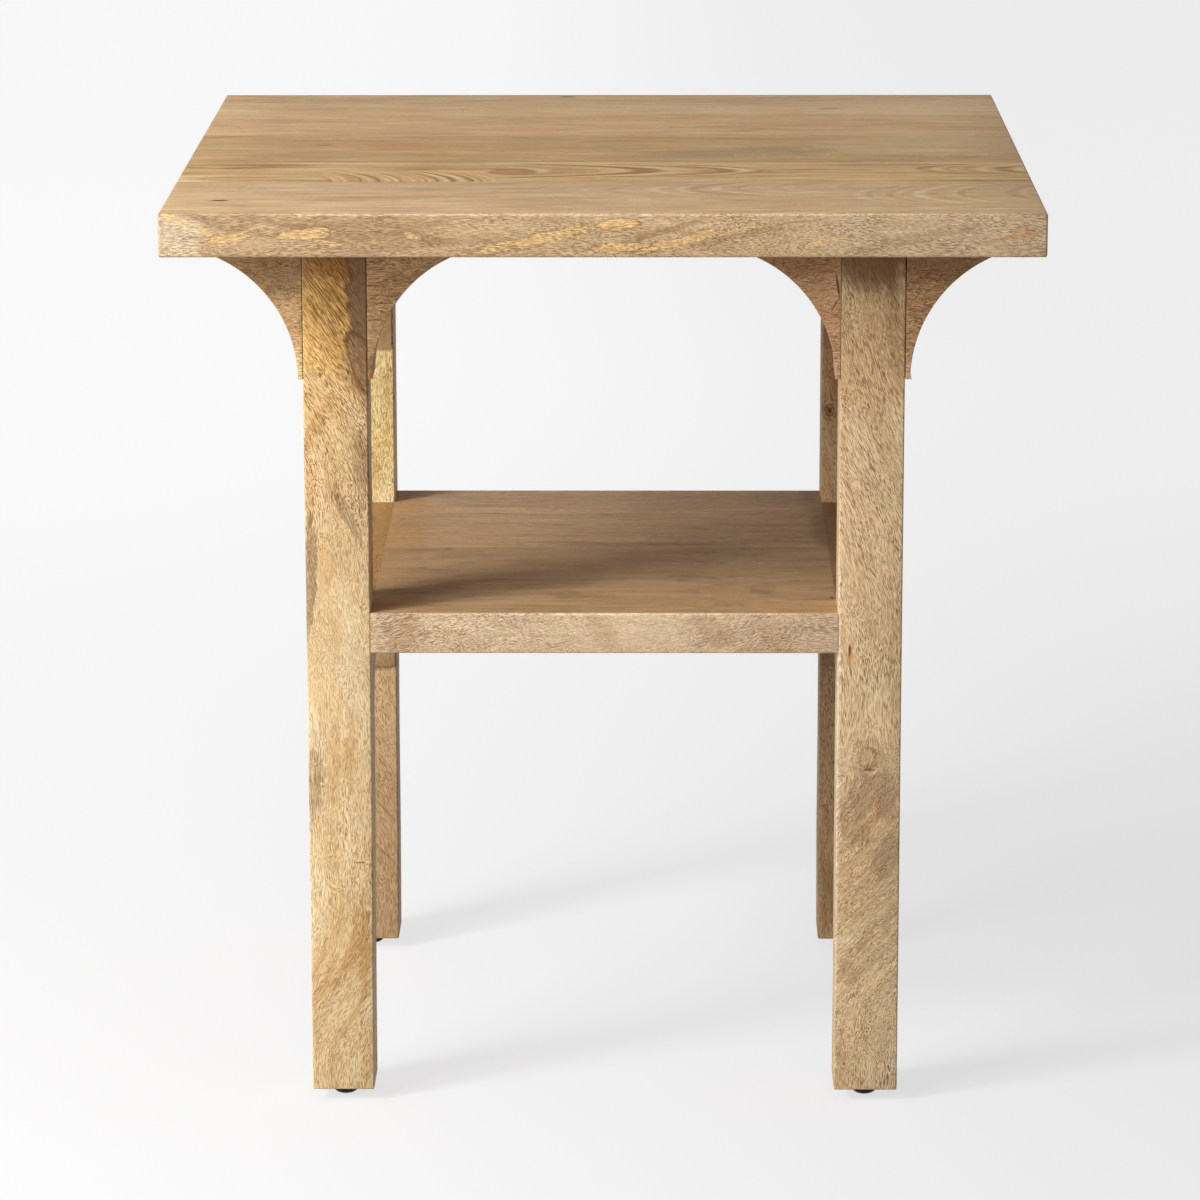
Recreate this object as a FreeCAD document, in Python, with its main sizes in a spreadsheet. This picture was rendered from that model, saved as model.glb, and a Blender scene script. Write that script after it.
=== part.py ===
import FreeCAD, Part
import math
import os
import Sketcher

# Accent table: a square plank top on four legs, with a shelf and quarter-circle brackets.
# Frame: origin on the floor under the middle of the table, +Z up, +X right, the front at -Y.

SIZES = {
    # Whole table
    "table_height": 614.0,
    "top_width": 560.0,
    "top_depth": 560.0,
    "top_overhang": 84.5,
    # Top
    "top_thickness": 28.0,
    "top_easing": 1.5,
    # Legs
    "leg_side": 42.0,
    "leg_easing": 1.0,
    # Rails of the side frames
    "top_rail_height": 43.0,
    "side_inset": 1.0,
    # Shelf, level with its rails
    "shelf_height": 336.0,
    "shelf_thickness": 27.0,
    "shelf_easing": 1.0,
    # Brackets: a quarter circle cut from a block
    "bracket_radius": 88.0,
    "bracket_tip": 3.0,
    "bracket_crown": 6.0,
    "bracket_reach": 80.0,
    # Dowels and their holes
    "rail_dowel_radius": 4.0,
    "rail_dowel_length": 36.0,
    "bracket_dowel_radius": 3.0,
    "bracket_dowel_length": 28.0,
    "dowel_chamfer": 0.8,
    "dowel_fit": 0.1,
    "top_rail_dowel_edge": 12.0,
    "shelf_rail_dowel_edge": 11.0,
    "bracket_dowel_drop": 20.0,
    "hole_end_room": 1.0,
    "cut_overrun": 1.0,
    # Screws that hold the top
    "screw_radius": 2.5,
    "screw_bite": 16.0,
    "screw_point": 5.0,
    "screw_fit": 0.1,
    "screw_room": 1.0,
    "screw_spacing": 45.0,
    "screw_seat_depth": 18.0,
    "screw_seat_radius": 7.5,
    "screw_head_radius": 4.8,
    "screw_head_height": 3.2,
    "screw_drive_radius": 1.8,
    "screw_drive_depth": 2.0,
    "washer_radius": 7.0,
    "washer_bore_room": 0.3,
    "washer_thickness": 1.2,
    # Nail-on glides
    "glide_height": 8.0,
    "glide_radius": 9.0,
    "glide_flat_radius": 4.0,
    "glide_rim": 2.5,
    "nail_radius": 1.2,
    "nail_length": 16.0,
    "nail_point": 3.0,
    "nail_head_radius": 3.0,
    "nail_head_thickness": 0.8,
    "nail_cover": 3.0,
    "nail_fit": 0.1,
}

# Places of the glue joints and dowels, as shares of the board from front to back
TOP_JOINT_SHARES = (0.0, 0.24, 0.393, 0.62, 0.81, 1.0)
SHELF_JOINT_SHARES = (0.0, 0.51, 0.80, 1.0)
SHELF_DOWEL_SHARES = (0.22, 0.40, 0.66)

SIDES = {"left": -1, "right": 1}
ENDS = {"front": -1, "back": 1}

doc = FreeCAD.newDocument("accent_table")
sheet = doc.addObject("Spreadsheet::Sheet", "Sizes")
for row, (alias, value) in enumerate(SIZES.items(), start=1):
    sheet.set(f"A{row}", alias)
    sheet.set(f"B{row}", str(value))
    sheet.setAlias(f"B{row}", alias)
doc.recompute()

# Heights and places that more than one piece uses, as expressions on the sheet
UNDERSIDE = "(Sizes.table_height - Sizes.top_thickness)"
RAIL_BOTTOM = f"({UNDERSIDE} - Sizes.top_rail_height)"
SHELF_BOTTOM = "(Sizes.shelf_height - Sizes.shelf_thickness)"
FRAME_X = "(Sizes.top_width / 2 - Sizes.top_overhang)"
FRAME_Y = "(Sizes.top_depth / 2 - Sizes.top_overhang)"
LEG_X = f"({FRAME_X} - Sizes.leg_side / 2)"
LEG_Y = f"({FRAME_Y} - Sizes.leg_side / 2)"
INNER_X = f"({FRAME_X} - Sizes.leg_side)"
INNER_Y = f"({FRAME_Y} - Sizes.leg_side)"
LEG_HEIGHT = f"({UNDERSIDE} - Sizes.glide_height)"
SIDE_THICKNESS = "(Sizes.leg_side - 2 * Sizes.side_inset)"
BRACKET_HEIGHT = "(Sizes.bracket_radius + Sizes.bracket_crown)"

X_AXIS = FreeCAD.Vector(1, 0, 0)
Y_AXIS = FreeCAD.Vector(0, 1, 0)
Z_AXIS = FreeCAD.Vector(0, 0, 1)

node_objects = []


def bind(thing, **expressions):
    """Bind properties of an object to expressions on the sheet."""
    for name, expression in expressions.items():
        thing.setExpression(name.replace("__", "."), expression)


def place(thing, x="0", y="0", z="0", turn=0, axis=None):
    """Put an object at a bound place, turned about Z or with its own Z laid along an axis."""
    rotation = FreeCAD.Rotation(Z_AXIS, axis) if axis else FreeCAD.Rotation(Z_AXIS, turn)
    thing.Placement = FreeCAD.Placement(FreeCAD.Vector(), rotation)
    bind(thing, Placement__Base__x=x, Placement__Base__y=y, Placement__Base__z=z)
    return thing


def node(thing, label):
    """Name an object as a finished piece of the table."""
    thing.Label = label
    node_objects.append(thing)
    return thing


def block(name, length, width, height, x, y, z):
    """A plain block with its lowest corner at x, y, z."""
    made = doc.addObject("Part::Box", name)
    bind(made, Length=length, Width=width, Height=height)
    return place(made, x, y, z)


def rod(name, radius, length, x, y, z, axis=Z_AXIS):
    """A plain cylinder that starts at x, y, z and runs along an axis."""
    made = doc.addObject("Part::Cylinder", name)
    bind(made, Radius=radius, Height=length)
    return place(made, x, y, z, axis=axis)


def group(name, members):
    """Several solids as one object."""
    made = doc.addObject("Part::Compound", name)
    made.Links = members
    return made


def cut(name, base, tool):
    made = doc.addObject("Part::Cut", name)
    made.Base = base
    made.Tool = tool
    return made


def link(name, master, x="0", y="0", z="0", turn=0, axis=None):
    """A placed copy of a master body."""
    made = doc.addObject("App::Link", name)
    made.LinkedObject = master
    return place(made, x, y, z, turn, axis)


def eased_block(name, length, width, height, easing, picked, x, y, z):
    """A body: a block whose picked edges are rounded, with its lowest corner at x, y, z."""
    body = doc.addObject("PartDesign::Body", name)
    blank = body.newObject("PartDesign::AdditiveBox", name + "_blank")
    bind(blank, Length=length, Width=width, Height=height)
    doc.recompute()
    box = blank.Shape.BoundBox
    edges = [f"Edge{i}" for i, edge in enumerate(blank.Shape.Edges, start=1) if picked(edge, box)]
    easing_feature = body.newObject("PartDesign::Fillet", name + "_easing")
    easing_feature.Base = (blank, edges)
    bind(easing_feature, Radius=easing)
    body.Tip = easing_feature
    return place(body, x, y, z)


def bracket_master(name, thickness):
    """A quarter-circle bracket: leg face at x = 0, top face at z = 0, its thickness centred on y = 0."""
    body = doc.addObject("PartDesign::Body", name)
    sketch = body.newObject("Sketcher::SketchObject", name + "_outline")
    plane = next(o for o in body.Origin.OriginFeatures if o.Role == "XZ_Plane")
    sketch.AttachmentSupport = [(plane, "")]
    sketch.MapMode = "FlatFace"
    reach, tip, radius = SIZES["bracket_reach"], SIZES["bracket_tip"], SIZES["bracket_radius"]
    height = radius + SIZES["bracket_crown"]
    circle = Part.Circle(FreeCAD.Vector(tip + radius, -height), Z_AXIS, radius)
    end_angle = math.acos((reach - tip - radius) / radius)
    end_z = radius * math.sin(end_angle) - height
    corner = FreeCAD.Vector(0, 0)
    top_end = FreeCAD.Vector(reach, 0)
    low_end = FreeCAD.Vector(reach, end_z)
    tip_out = FreeCAD.Vector(tip, -height)
    tip_in = FreeCAD.Vector(0, -height)
    top = sketch.addGeometry(Part.LineSegment(corner, top_end))
    end = sketch.addGeometry(Part.LineSegment(top_end, low_end))
    arc = sketch.addGeometry(Part.ArcOfCircle(circle, end_angle, math.pi))
    foot = sketch.addGeometry(Part.LineSegment(tip_out, tip_in))
    back = sketch.addGeometry(Part.LineSegment(tip_in, corner))
    start_point, end_point, centre_point = 1, 2, 3
    sketch_origin = -1
    for first, first_point, second, second_point in (
        (top, end_point, end, start_point),
        (end, end_point, arc, start_point),
        (arc, end_point, foot, start_point),
        (foot, end_point, back, start_point),
        (back, end_point, top, start_point),
        (top, start_point, sketch_origin, start_point),
    ):
        sketch.addConstraint(Sketcher.Constraint("Coincident", first, first_point, second, second_point))
    sketch.addConstraint(Sketcher.Constraint("Horizontal", top))
    sketch.addConstraint(Sketcher.Constraint("Vertical", end))
    sketch.addConstraint(Sketcher.Constraint("Horizontal", foot))
    sketch.addConstraint(Sketcher.Constraint("Vertical", back))
    sketch.addConstraint(Sketcher.Constraint("Horizontal", arc, centre_point, arc, end_point))
    for constraint, expression in (
        (Sketcher.Constraint("DistanceX", top, start_point, top, end_point, reach), "Sizes.bracket_reach"),
        (Sketcher.Constraint("DistanceX", foot, end_point, foot, start_point, tip), "Sizes.bracket_tip"),
        (Sketcher.Constraint("Radius", arc, radius), "Sizes.bracket_radius"),
        (Sketcher.Constraint("DistanceY", back, start_point, back, end_point, height), BRACKET_HEIGHT),
    ):
        index = sketch.addConstraint(constraint)
        sketch.setExpression(f"Constraints[{index}]", expression)
    pad = body.newObject("PartDesign::Pad", name + "_pad")
    pad.Profile = sketch
    pad.SideType = "Symmetric"
    bind(pad, Length=thickness)
    body.Tip = pad
    return body


def dowel_master(name, radius, length):
    """A dowel with chamfered ends, from z = 0 up."""
    body = doc.addObject("PartDesign::Body", name)
    stick = body.newObject("PartDesign::AdditiveCylinder", name + "_stick")
    bind(stick, Radius=radius, Height=length)
    doc.recompute()
    rims = [f"Edge{i}" for i, edge in enumerate(stick.Shape.Edges, start=1) if len(edge.Vertexes) == 1]
    chamfer = body.newObject("PartDesign::Chamfer", name + "_chamfer")
    chamfer.Base = (stick, rims)
    bind(chamfer, Size="Sizes.dowel_chamfer")
    body.Tip = chamfer
    return body


def dowels(label, master, radius, length, seats):
    """Dowels centred on their seats as one node, and the group of their holes."""
    placed, holes = [], []
    for i, (x, y, z, axis) in enumerate(seats, start=1):
        for members, made_name, half in (
            (placed, f"{label}_{i}", f"{length} / 2"),
            (holes, f"{label}_hole_{i}", f"({length} / 2 + Sizes.hole_end_room)"),
        ):
            start_x = f"{x} - {half}" if axis is X_AXIS else x
            start_y = f"{y} - {half}" if axis is Y_AXIS else y
            if members is placed:
                members.append(link(made_name, master, start_x, start_y, z, axis=axis))
            else:
                members.append(
                    rod(made_name, f"{radius} + Sizes.dowel_fit", f"2 * {half}", start_x, start_y, z, axis)
                )
    node(group(label, placed), label)
    return group(label + "_holes", holes)


def planks(label, slab, width, height, shares, left, front, depth, low, holes):
    """A slab cut into planks at the shares of its depth, and drilled."""
    for i, (start, stop) in enumerate(zip(shares, shares[1:]), start=1):
        strip_depth = f"{stop - start} * {depth}"
        strip_front = f"{front} + {start} * {depth}"
        strip = block(f"{label}_{i}_strip", width, strip_depth, height, left, strip_front, low)
        plank = doc.addObject("Part::Common", f"{label}_{i}_plank")
        plank.Base = slab
        plank.Tool = strip
        node(cut(f"{label}_{i}_drilled", plank, holes), f"{label}_{i}")


def every_edge(edge, box):
    return True


def below_the_top(edge, box):
    return edge.BoundBox.ZMin < box.Center.z


def left_to_right(edge, box):
    return round(edge.tangentAt(edge.FirstParameter).x) != 0


def front_to_back(edge, box):
    return round(edge.tangentAt(edge.FirstParameter).y) != 0


# Where the dowels sit: the point where each crosses its joint, and the way it runs
corners = [(end, side) for end in ENDS for side in SIDES]
top_rail_seats = []
shelf_rail_seats = []
bracket_seats = []
for end, side in corners:
    y_sign, x_sign = ENDS[end], SIDES[side]
    leg_x, leg_y = f"{x_sign} * {LEG_X}", f"{y_sign} * {LEG_Y}"
    outer_x, inner_x = f"{x_sign} * {FRAME_X}", f"{x_sign} * {INNER_X}"
    inner_y = f"{y_sign} * {INNER_Y}"
    for z in (f"{UNDERSIDE} - Sizes.top_rail_dowel_edge", f"{RAIL_BOTTOM} + Sizes.top_rail_dowel_edge"):
        top_rail_seats.append((leg_x, inner_y, z, Y_AXIS))
    for step in (-1, 1):
        x = f"{leg_x} + {step} * (Sizes.leg_side / 2 - Sizes.shelf_rail_dowel_edge)"
        shelf_rail_seats.append((x, inner_y, "Sizes.shelf_height - Sizes.shelf_thickness / 2", Y_AXIS))
    for x in (outer_x, inner_x):
        bracket_seats.append((x, leg_y, f"{UNDERSIDE} - Sizes.bracket_dowel_drop", X_AXIS))
    for z in (RAIL_BOTTOM, SHELF_BOTTOM):
        bracket_seats.append((leg_x, inner_y, f"{z} - Sizes.bracket_dowel_drop", Y_AXIS))
shelf_seats = [
    (
        f"{SIDES[side]} * {INNER_X}",
        f"{FRAME_Y} * {2 * share - 1}",
        "Sizes.shelf_height - Sizes.shelf_thickness / 2",
        X_AXIS,
    )
    for side in SIDES
    for share in SHELF_DOWEL_SHARES
]

rail_dowel = dowel_master("rail_dowel", "Sizes.rail_dowel_radius", "Sizes.rail_dowel_length")
bracket_dowel = dowel_master("bracket_dowel", "Sizes.bracket_dowel_radius", "Sizes.bracket_dowel_length")
rail_dowel_sizes = (rail_dowel, "Sizes.rail_dowel_radius", "Sizes.rail_dowel_length")
bracket_dowel_sizes = (bracket_dowel, "Sizes.bracket_dowel_radius", "Sizes.bracket_dowel_length")
top_rail_holes = dowels("top_rail_dowels", *rail_dowel_sizes, top_rail_seats)
shelf_rail_holes = dowels("shelf_rail_dowels", *rail_dowel_sizes, shelf_rail_seats)
shelf_holes = dowels("shelf_dowels", *rail_dowel_sizes, shelf_seats)
bracket_holes = dowels("bracket_dowels", *bracket_dowel_sizes, bracket_seats)

# Screws with washers, up through counterbored holes in the top rails into the top
SCREW_GRIP = "(Sizes.washer_thickness + Sizes.top_rail_height - Sizes.screw_seat_depth)"
SCREW_LENGTH = f"({SCREW_GRIP} + Sizes.screw_bite)"
SCREW_SEAT = f"({RAIL_BOTTOM} + Sizes.screw_seat_depth)"
shank = rod("screw_shank", "Sizes.screw_radius", f"{SCREW_LENGTH} - Sizes.screw_point", "0", "0", "0")
head_bottom = "-Sizes.screw_head_height"
head = rod("screw_head", "Sizes.screw_head_radius", "Sizes.screw_head_height", "0", "0", head_bottom)
point = doc.addObject("Part::Cone", "screw_tip")
bind(point, Radius1="Sizes.screw_radius", Radius2="0", Height="Sizes.screw_point")
place(point, z=f"{SCREW_LENGTH} - Sizes.screw_point")
drive = doc.addObject("Part::Cone", "screw_drive")
bind(drive, Radius1="Sizes.screw_drive_radius", Radius2="0", Height="Sizes.screw_drive_depth")
place(drive, z=head_bottom)
screw_blank = doc.addObject("Part::MultiFuse", "screw_blank")
screw_blank.Shapes = [shank, head, point]
screw = cut("screw", screw_blank, drive)
washer_disc = rod("washer_disc", "Sizes.washer_radius", "Sizes.washer_thickness", "0", "0", "0")
washer_bore = rod(
    "washer_bore",
    "Sizes.screw_radius + Sizes.washer_bore_room",
    "Sizes.washer_thickness + 2 * Sizes.cut_overrun",
    "0",
    "0",
    "-Sizes.cut_overrun",
)
washer = cut("washer", washer_disc, washer_bore)
screws, washers, rail_bores, top_bores = [], [], [], []
for side in SIDES:
    for step in (-1, 0, 1):
        x, y = f"{SIDES[side]} * {LEG_X}", f"{step} * Sizes.screw_spacing"
        tag = f"{side}_{step + 2}"
        seat = f"{SCREW_SEAT} - Sizes.washer_thickness"
        screws.append(link(f"screw_{tag}", screw, x, y, seat))
        washers.append(link(f"washer_{tag}", washer, x, y, seat))
        counterbore = rod(
            f"counterbore_{tag}",
            "Sizes.screw_seat_radius",
            "Sizes.screw_seat_depth + Sizes.cut_overrun",
            x,
            y,
            f"{RAIL_BOTTOM} - Sizes.cut_overrun",
        )
        roomy_hole = rod(
            f"roomy_hole_{tag}",
            "Sizes.screw_radius + Sizes.screw_room",
            "Sizes.top_rail_height + 2 * Sizes.cut_overrun",
            x,
            y,
            f"{RAIL_BOTTOM} - Sizes.cut_overrun",
        )
        rail_bore = doc.addObject("Part::Fuse", f"rail_bore_{tag}")
        rail_bore.Base = counterbore
        rail_bore.Tool = roomy_hole
        rail_bores.append(rail_bore)
        top_bores.append(
            rod(
                f"top_bore_{tag}",
                "Sizes.screw_radius + Sizes.screw_fit",
                "Sizes.screw_bite + Sizes.hole_end_room + Sizes.cut_overrun",
                x,
                y,
                f"{UNDERSIDE} - Sizes.cut_overrun",
            )
        )
node(group("tabletop_screws", screws), "tabletop_screws")
node(group("tabletop_washers", washers), "tabletop_washers")
rail_bore_group = group("rail_bores", rail_bores)
top_bore_group = group("top_bores", top_bores)

# The top
top_left, top_front = "-Sizes.top_width / 2", "-Sizes.top_depth / 2"
top_size = ("Sizes.top_width", "Sizes.top_depth", "Sizes.top_thickness")
top_slab = eased_block("top_slab", *top_size, "Sizes.top_easing", every_edge, top_left, top_front, UNDERSIDE)
planks(
    "tabletop_plank",
    top_slab,
    "Sizes.top_width",
    "Sizes.top_thickness",
    TOP_JOINT_SHARES,
    top_left,
    top_front,
    "Sizes.top_depth",
    UNDERSIDE,
    top_bore_group,
)

# The shelf, between the legs and the shelf rails
shelf_left, shelf_front = f"-{INNER_X}", f"-{FRAME_Y}"
shelf_width, shelf_depth = f"2 * {INNER_X}", f"(2 * {FRAME_Y})"
shelf_size = (shelf_width, shelf_depth, "Sizes.shelf_thickness")
shelf_slab = eased_block(
    "shelf_slab", *shelf_size, "Sizes.shelf_easing", left_to_right, shelf_left, shelf_front, SHELF_BOTTOM
)
planks(
    "shelf_plank",
    shelf_slab,
    shelf_width,
    "Sizes.shelf_thickness",
    SHELF_JOINT_SHARES,
    shelf_left,
    shelf_front,
    shelf_depth,
    SHELF_BOTTOM,
    shelf_holes,
)

# The rails of the two side frames
rail_size = (SIDE_THICKNESS, f"2 * {INNER_Y}", "Sizes.top_rail_height")
shelf_rail_size = ("Sizes.leg_side", f"2 * {INNER_Y}", "Sizes.shelf_thickness")
top_rail_cuts = group("top_rail_cuts", [top_rail_holes, rail_bore_group])
shelf_rail_cuts = group("shelf_rail_cuts", [shelf_rail_holes, shelf_holes])
for side, x_sign in SIDES.items():
    rail_left = f"{x_sign} * {LEG_X} - {SIDE_THICKNESS} / 2"
    top_rail = eased_block(
        f"top_rail_{side}_blank",
        *rail_size,
        "Sizes.leg_easing",
        front_to_back,
        rail_left,
        f"-{INNER_Y}",
        RAIL_BOTTOM,
    )
    node(cut(f"top_rail_{side}_drilled", top_rail, top_rail_cuts), f"top_rail_{side}")
    shelf_rail_left = f"{x_sign} * {LEG_X} - Sizes.leg_side / 2"
    shelf_rail = eased_block(
        f"shelf_rail_{side}_blank",
        *shelf_rail_size,
        "Sizes.shelf_easing",
        front_to_back,
        shelf_rail_left,
        f"-{INNER_Y}",
        SHELF_BOTTOM,
    )
    node(cut(f"shelf_rail_{side}_drilled", shelf_rail, shelf_rail_cuts), f"shelf_rail_{side}")

# Glides: a domed disc with a flat underneath, moulded round the head of its nail
DOME_HEIGHT = "(Sizes.glide_height - Sizes.glide_rim)"
DOME_SPREAD = "(Sizes.glide_radius ^ 2 - Sizes.glide_flat_radius ^ 2)"
DOME_CENTRE = f"(({DOME_HEIGHT} ^ 2 + {DOME_SPREAD}) / (2 * {DOME_HEIGHT}))"
disc = rod("glide_disc", "Sizes.glide_radius", "Sizes.glide_height", "0", "0", "0")
dome = doc.addObject("Part::Sphere", "glide_dome")
bind(dome, Radius=f"sqrt({DOME_CENTRE} ^ 2 + Sizes.glide_flat_radius ^ 2)")
place(dome, z=DOME_CENTRE)
domed_disc = doc.addObject("Part::Common", "glide_domed_disc")
domed_disc.Base = disc
domed_disc.Tool = dome
head_space = rod(
    "glide_head_space",
    "Sizes.nail_head_radius + Sizes.nail_fit",
    "Sizes.nail_head_thickness + Sizes.nail_fit",
    "0",
    "0",
    "Sizes.nail_cover",
)
nail_hole = rod(
    "nail_hole",
    "Sizes.nail_radius + Sizes.nail_fit",
    "Sizes.nail_length + Sizes.hole_end_room",
    "0",
    "0",
    "Sizes.nail_cover",
)
glide_space = doc.addObject("Part::Fuse", "glide_space")
glide_space.Base = head_space
glide_space.Tool = nail_hole
glide = cut("glide", domed_disc, glide_space)
nail_foot = ("0", "0", "Sizes.nail_cover")
nail_head = rod("nail_head", "Sizes.nail_head_radius", "Sizes.nail_head_thickness", *nail_foot)
nail_shank = rod("nail_shank", "Sizes.nail_radius", "Sizes.nail_length - Sizes.nail_point", *nail_foot)
nail_tip = doc.addObject("Part::Cone", "nail_tip")
bind(nail_tip, Radius1="Sizes.nail_radius", Radius2="0", Height="Sizes.nail_point")
place(nail_tip, z="Sizes.nail_cover + Sizes.nail_length - Sizes.nail_point")
nail = doc.addObject("Part::MultiFuse", "nail")
nail.Shapes = [nail_head, nail_shank, nail_tip]

# The legs with their glides, and the brackets
flush_bracket = bracket_master("flush_bracket", "Sizes.leg_side")
side_bracket = bracket_master("side_bracket", SIDE_THICKNESS)
leg_size = ("Sizes.leg_side", "Sizes.leg_side", LEG_HEIGHT)
leg_holes = [top_rail_holes, shelf_rail_holes, bracket_holes]
nails = []
for end, side in corners:
    y_sign, x_sign = ENDS[end], SIDES[side]
    leg_x, leg_y = f"{x_sign} * {LEG_X}", f"{y_sign} * {LEG_Y}"
    low_x, low_y = f"{leg_x} - Sizes.leg_side / 2", f"{leg_y} - Sizes.leg_side / 2"
    blank = eased_block(
        f"leg_{end}_{side}_blank",
        *leg_size,
        "Sizes.leg_easing",
        below_the_top,
        low_x,
        low_y,
        "Sizes.glide_height",
    )
    leg_nail_hole = link(f"leg_{end}_{side}_nail_hole", nail_hole, leg_x, leg_y, "Sizes.nail_cover")
    leg_cuts = group(f"leg_{end}_{side}_cuts", leg_holes + [leg_nail_hole])
    node(cut(f"leg_{end}_{side}_drilled", blank, leg_cuts), f"leg_{end}_{side}")
    node(link(f"glide_{end}_{side}_placed", glide, leg_x, leg_y), f"glide_{end}_{side}")
    nails.append(link(f"nail_{end}_{side}", nail, leg_x, leg_y))

    # A turn of 0 points a bracket to the right, 90 to the back
    away_turn = 0 if x_sign > 0 else 180
    middle_turn = 180 if x_sign > 0 else 0
    side_turn = 90 if y_sign < 0 else 270
    outer_x, inner_x = f"{x_sign} * {FRAME_X}", f"{x_sign} * {INNER_X}"
    inner_y = f"{y_sign} * {INNER_Y}"
    for name, master, x, y, z, turn in (
        (f"top_bracket_{end}_{side}_outer", flush_bracket, outer_x, leg_y, UNDERSIDE, away_turn),
        (f"top_bracket_{end}_{side}_inner", flush_bracket, inner_x, leg_y, UNDERSIDE, middle_turn),
        (f"rail_bracket_{end}_{side}", side_bracket, leg_x, inner_y, RAIL_BOTTOM, side_turn),
        (f"shelf_bracket_{end}_{side}", side_bracket, leg_x, inner_y, SHELF_BOTTOM, side_turn),
    ):
        placed = link(name + "_blank", master, x, y, z, turn)
        node(cut(name + "_drilled", placed, bracket_holes), name)
node(group("glide_nails", nails), "glide_nails")

doc.recompute()
for thing in doc.Objects:
    if {"Invalid", "Error"} & set(thing.State):
        raise RuntimeError(f"{thing.Name} failed: {thing.State}")
for thing in node_objects:
    if thing.Shape.isNull() or not thing.Shape.isValid() or not thing.Shape.Solids:
        raise RuntimeError(f"{thing.Label} has no valid solid")

os.makedirs("parts", exist_ok=True)
for thing in node_objects:
    thing.Shape.exportStep(os.path.join("parts", thing.Label + ".step"))
print(len(node_objects), "pieces written")
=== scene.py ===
import bmesh
import bpy
import math
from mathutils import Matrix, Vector


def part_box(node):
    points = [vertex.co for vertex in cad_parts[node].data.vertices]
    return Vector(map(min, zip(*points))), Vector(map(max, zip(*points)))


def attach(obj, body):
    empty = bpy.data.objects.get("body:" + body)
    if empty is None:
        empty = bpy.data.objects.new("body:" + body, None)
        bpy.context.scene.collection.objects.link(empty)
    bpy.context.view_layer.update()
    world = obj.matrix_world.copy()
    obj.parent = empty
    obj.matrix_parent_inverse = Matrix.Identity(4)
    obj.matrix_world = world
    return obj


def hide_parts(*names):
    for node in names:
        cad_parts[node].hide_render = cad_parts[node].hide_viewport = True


# Accent table: plank top on four square legs, a shelf between side frames, sawn brackets.
# Metres, +Z up, the front at -Y. Sizes in the wood recipes are millimetres.

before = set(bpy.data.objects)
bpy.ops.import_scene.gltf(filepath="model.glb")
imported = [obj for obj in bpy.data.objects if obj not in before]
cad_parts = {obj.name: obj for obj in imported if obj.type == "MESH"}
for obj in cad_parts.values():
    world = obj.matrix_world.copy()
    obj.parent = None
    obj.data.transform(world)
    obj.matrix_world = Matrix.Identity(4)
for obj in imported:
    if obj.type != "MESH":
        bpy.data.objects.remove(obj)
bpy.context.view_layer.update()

MM = 0.001
SIDES = {"left": -1, "right": 1}
ENDS = {"front": -1, "back": 1}


def tone(red, green, blue):
    """A colour as it looks on screen, made linear for the shader."""
    parts = (value / 255 for value in (red, green, blue))
    return tuple(((p + 0.055) / 1.055) ** 2.4 if p > 0.04045 else p / 12.92 for p in parts) + (1.0,)


# Materials


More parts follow.
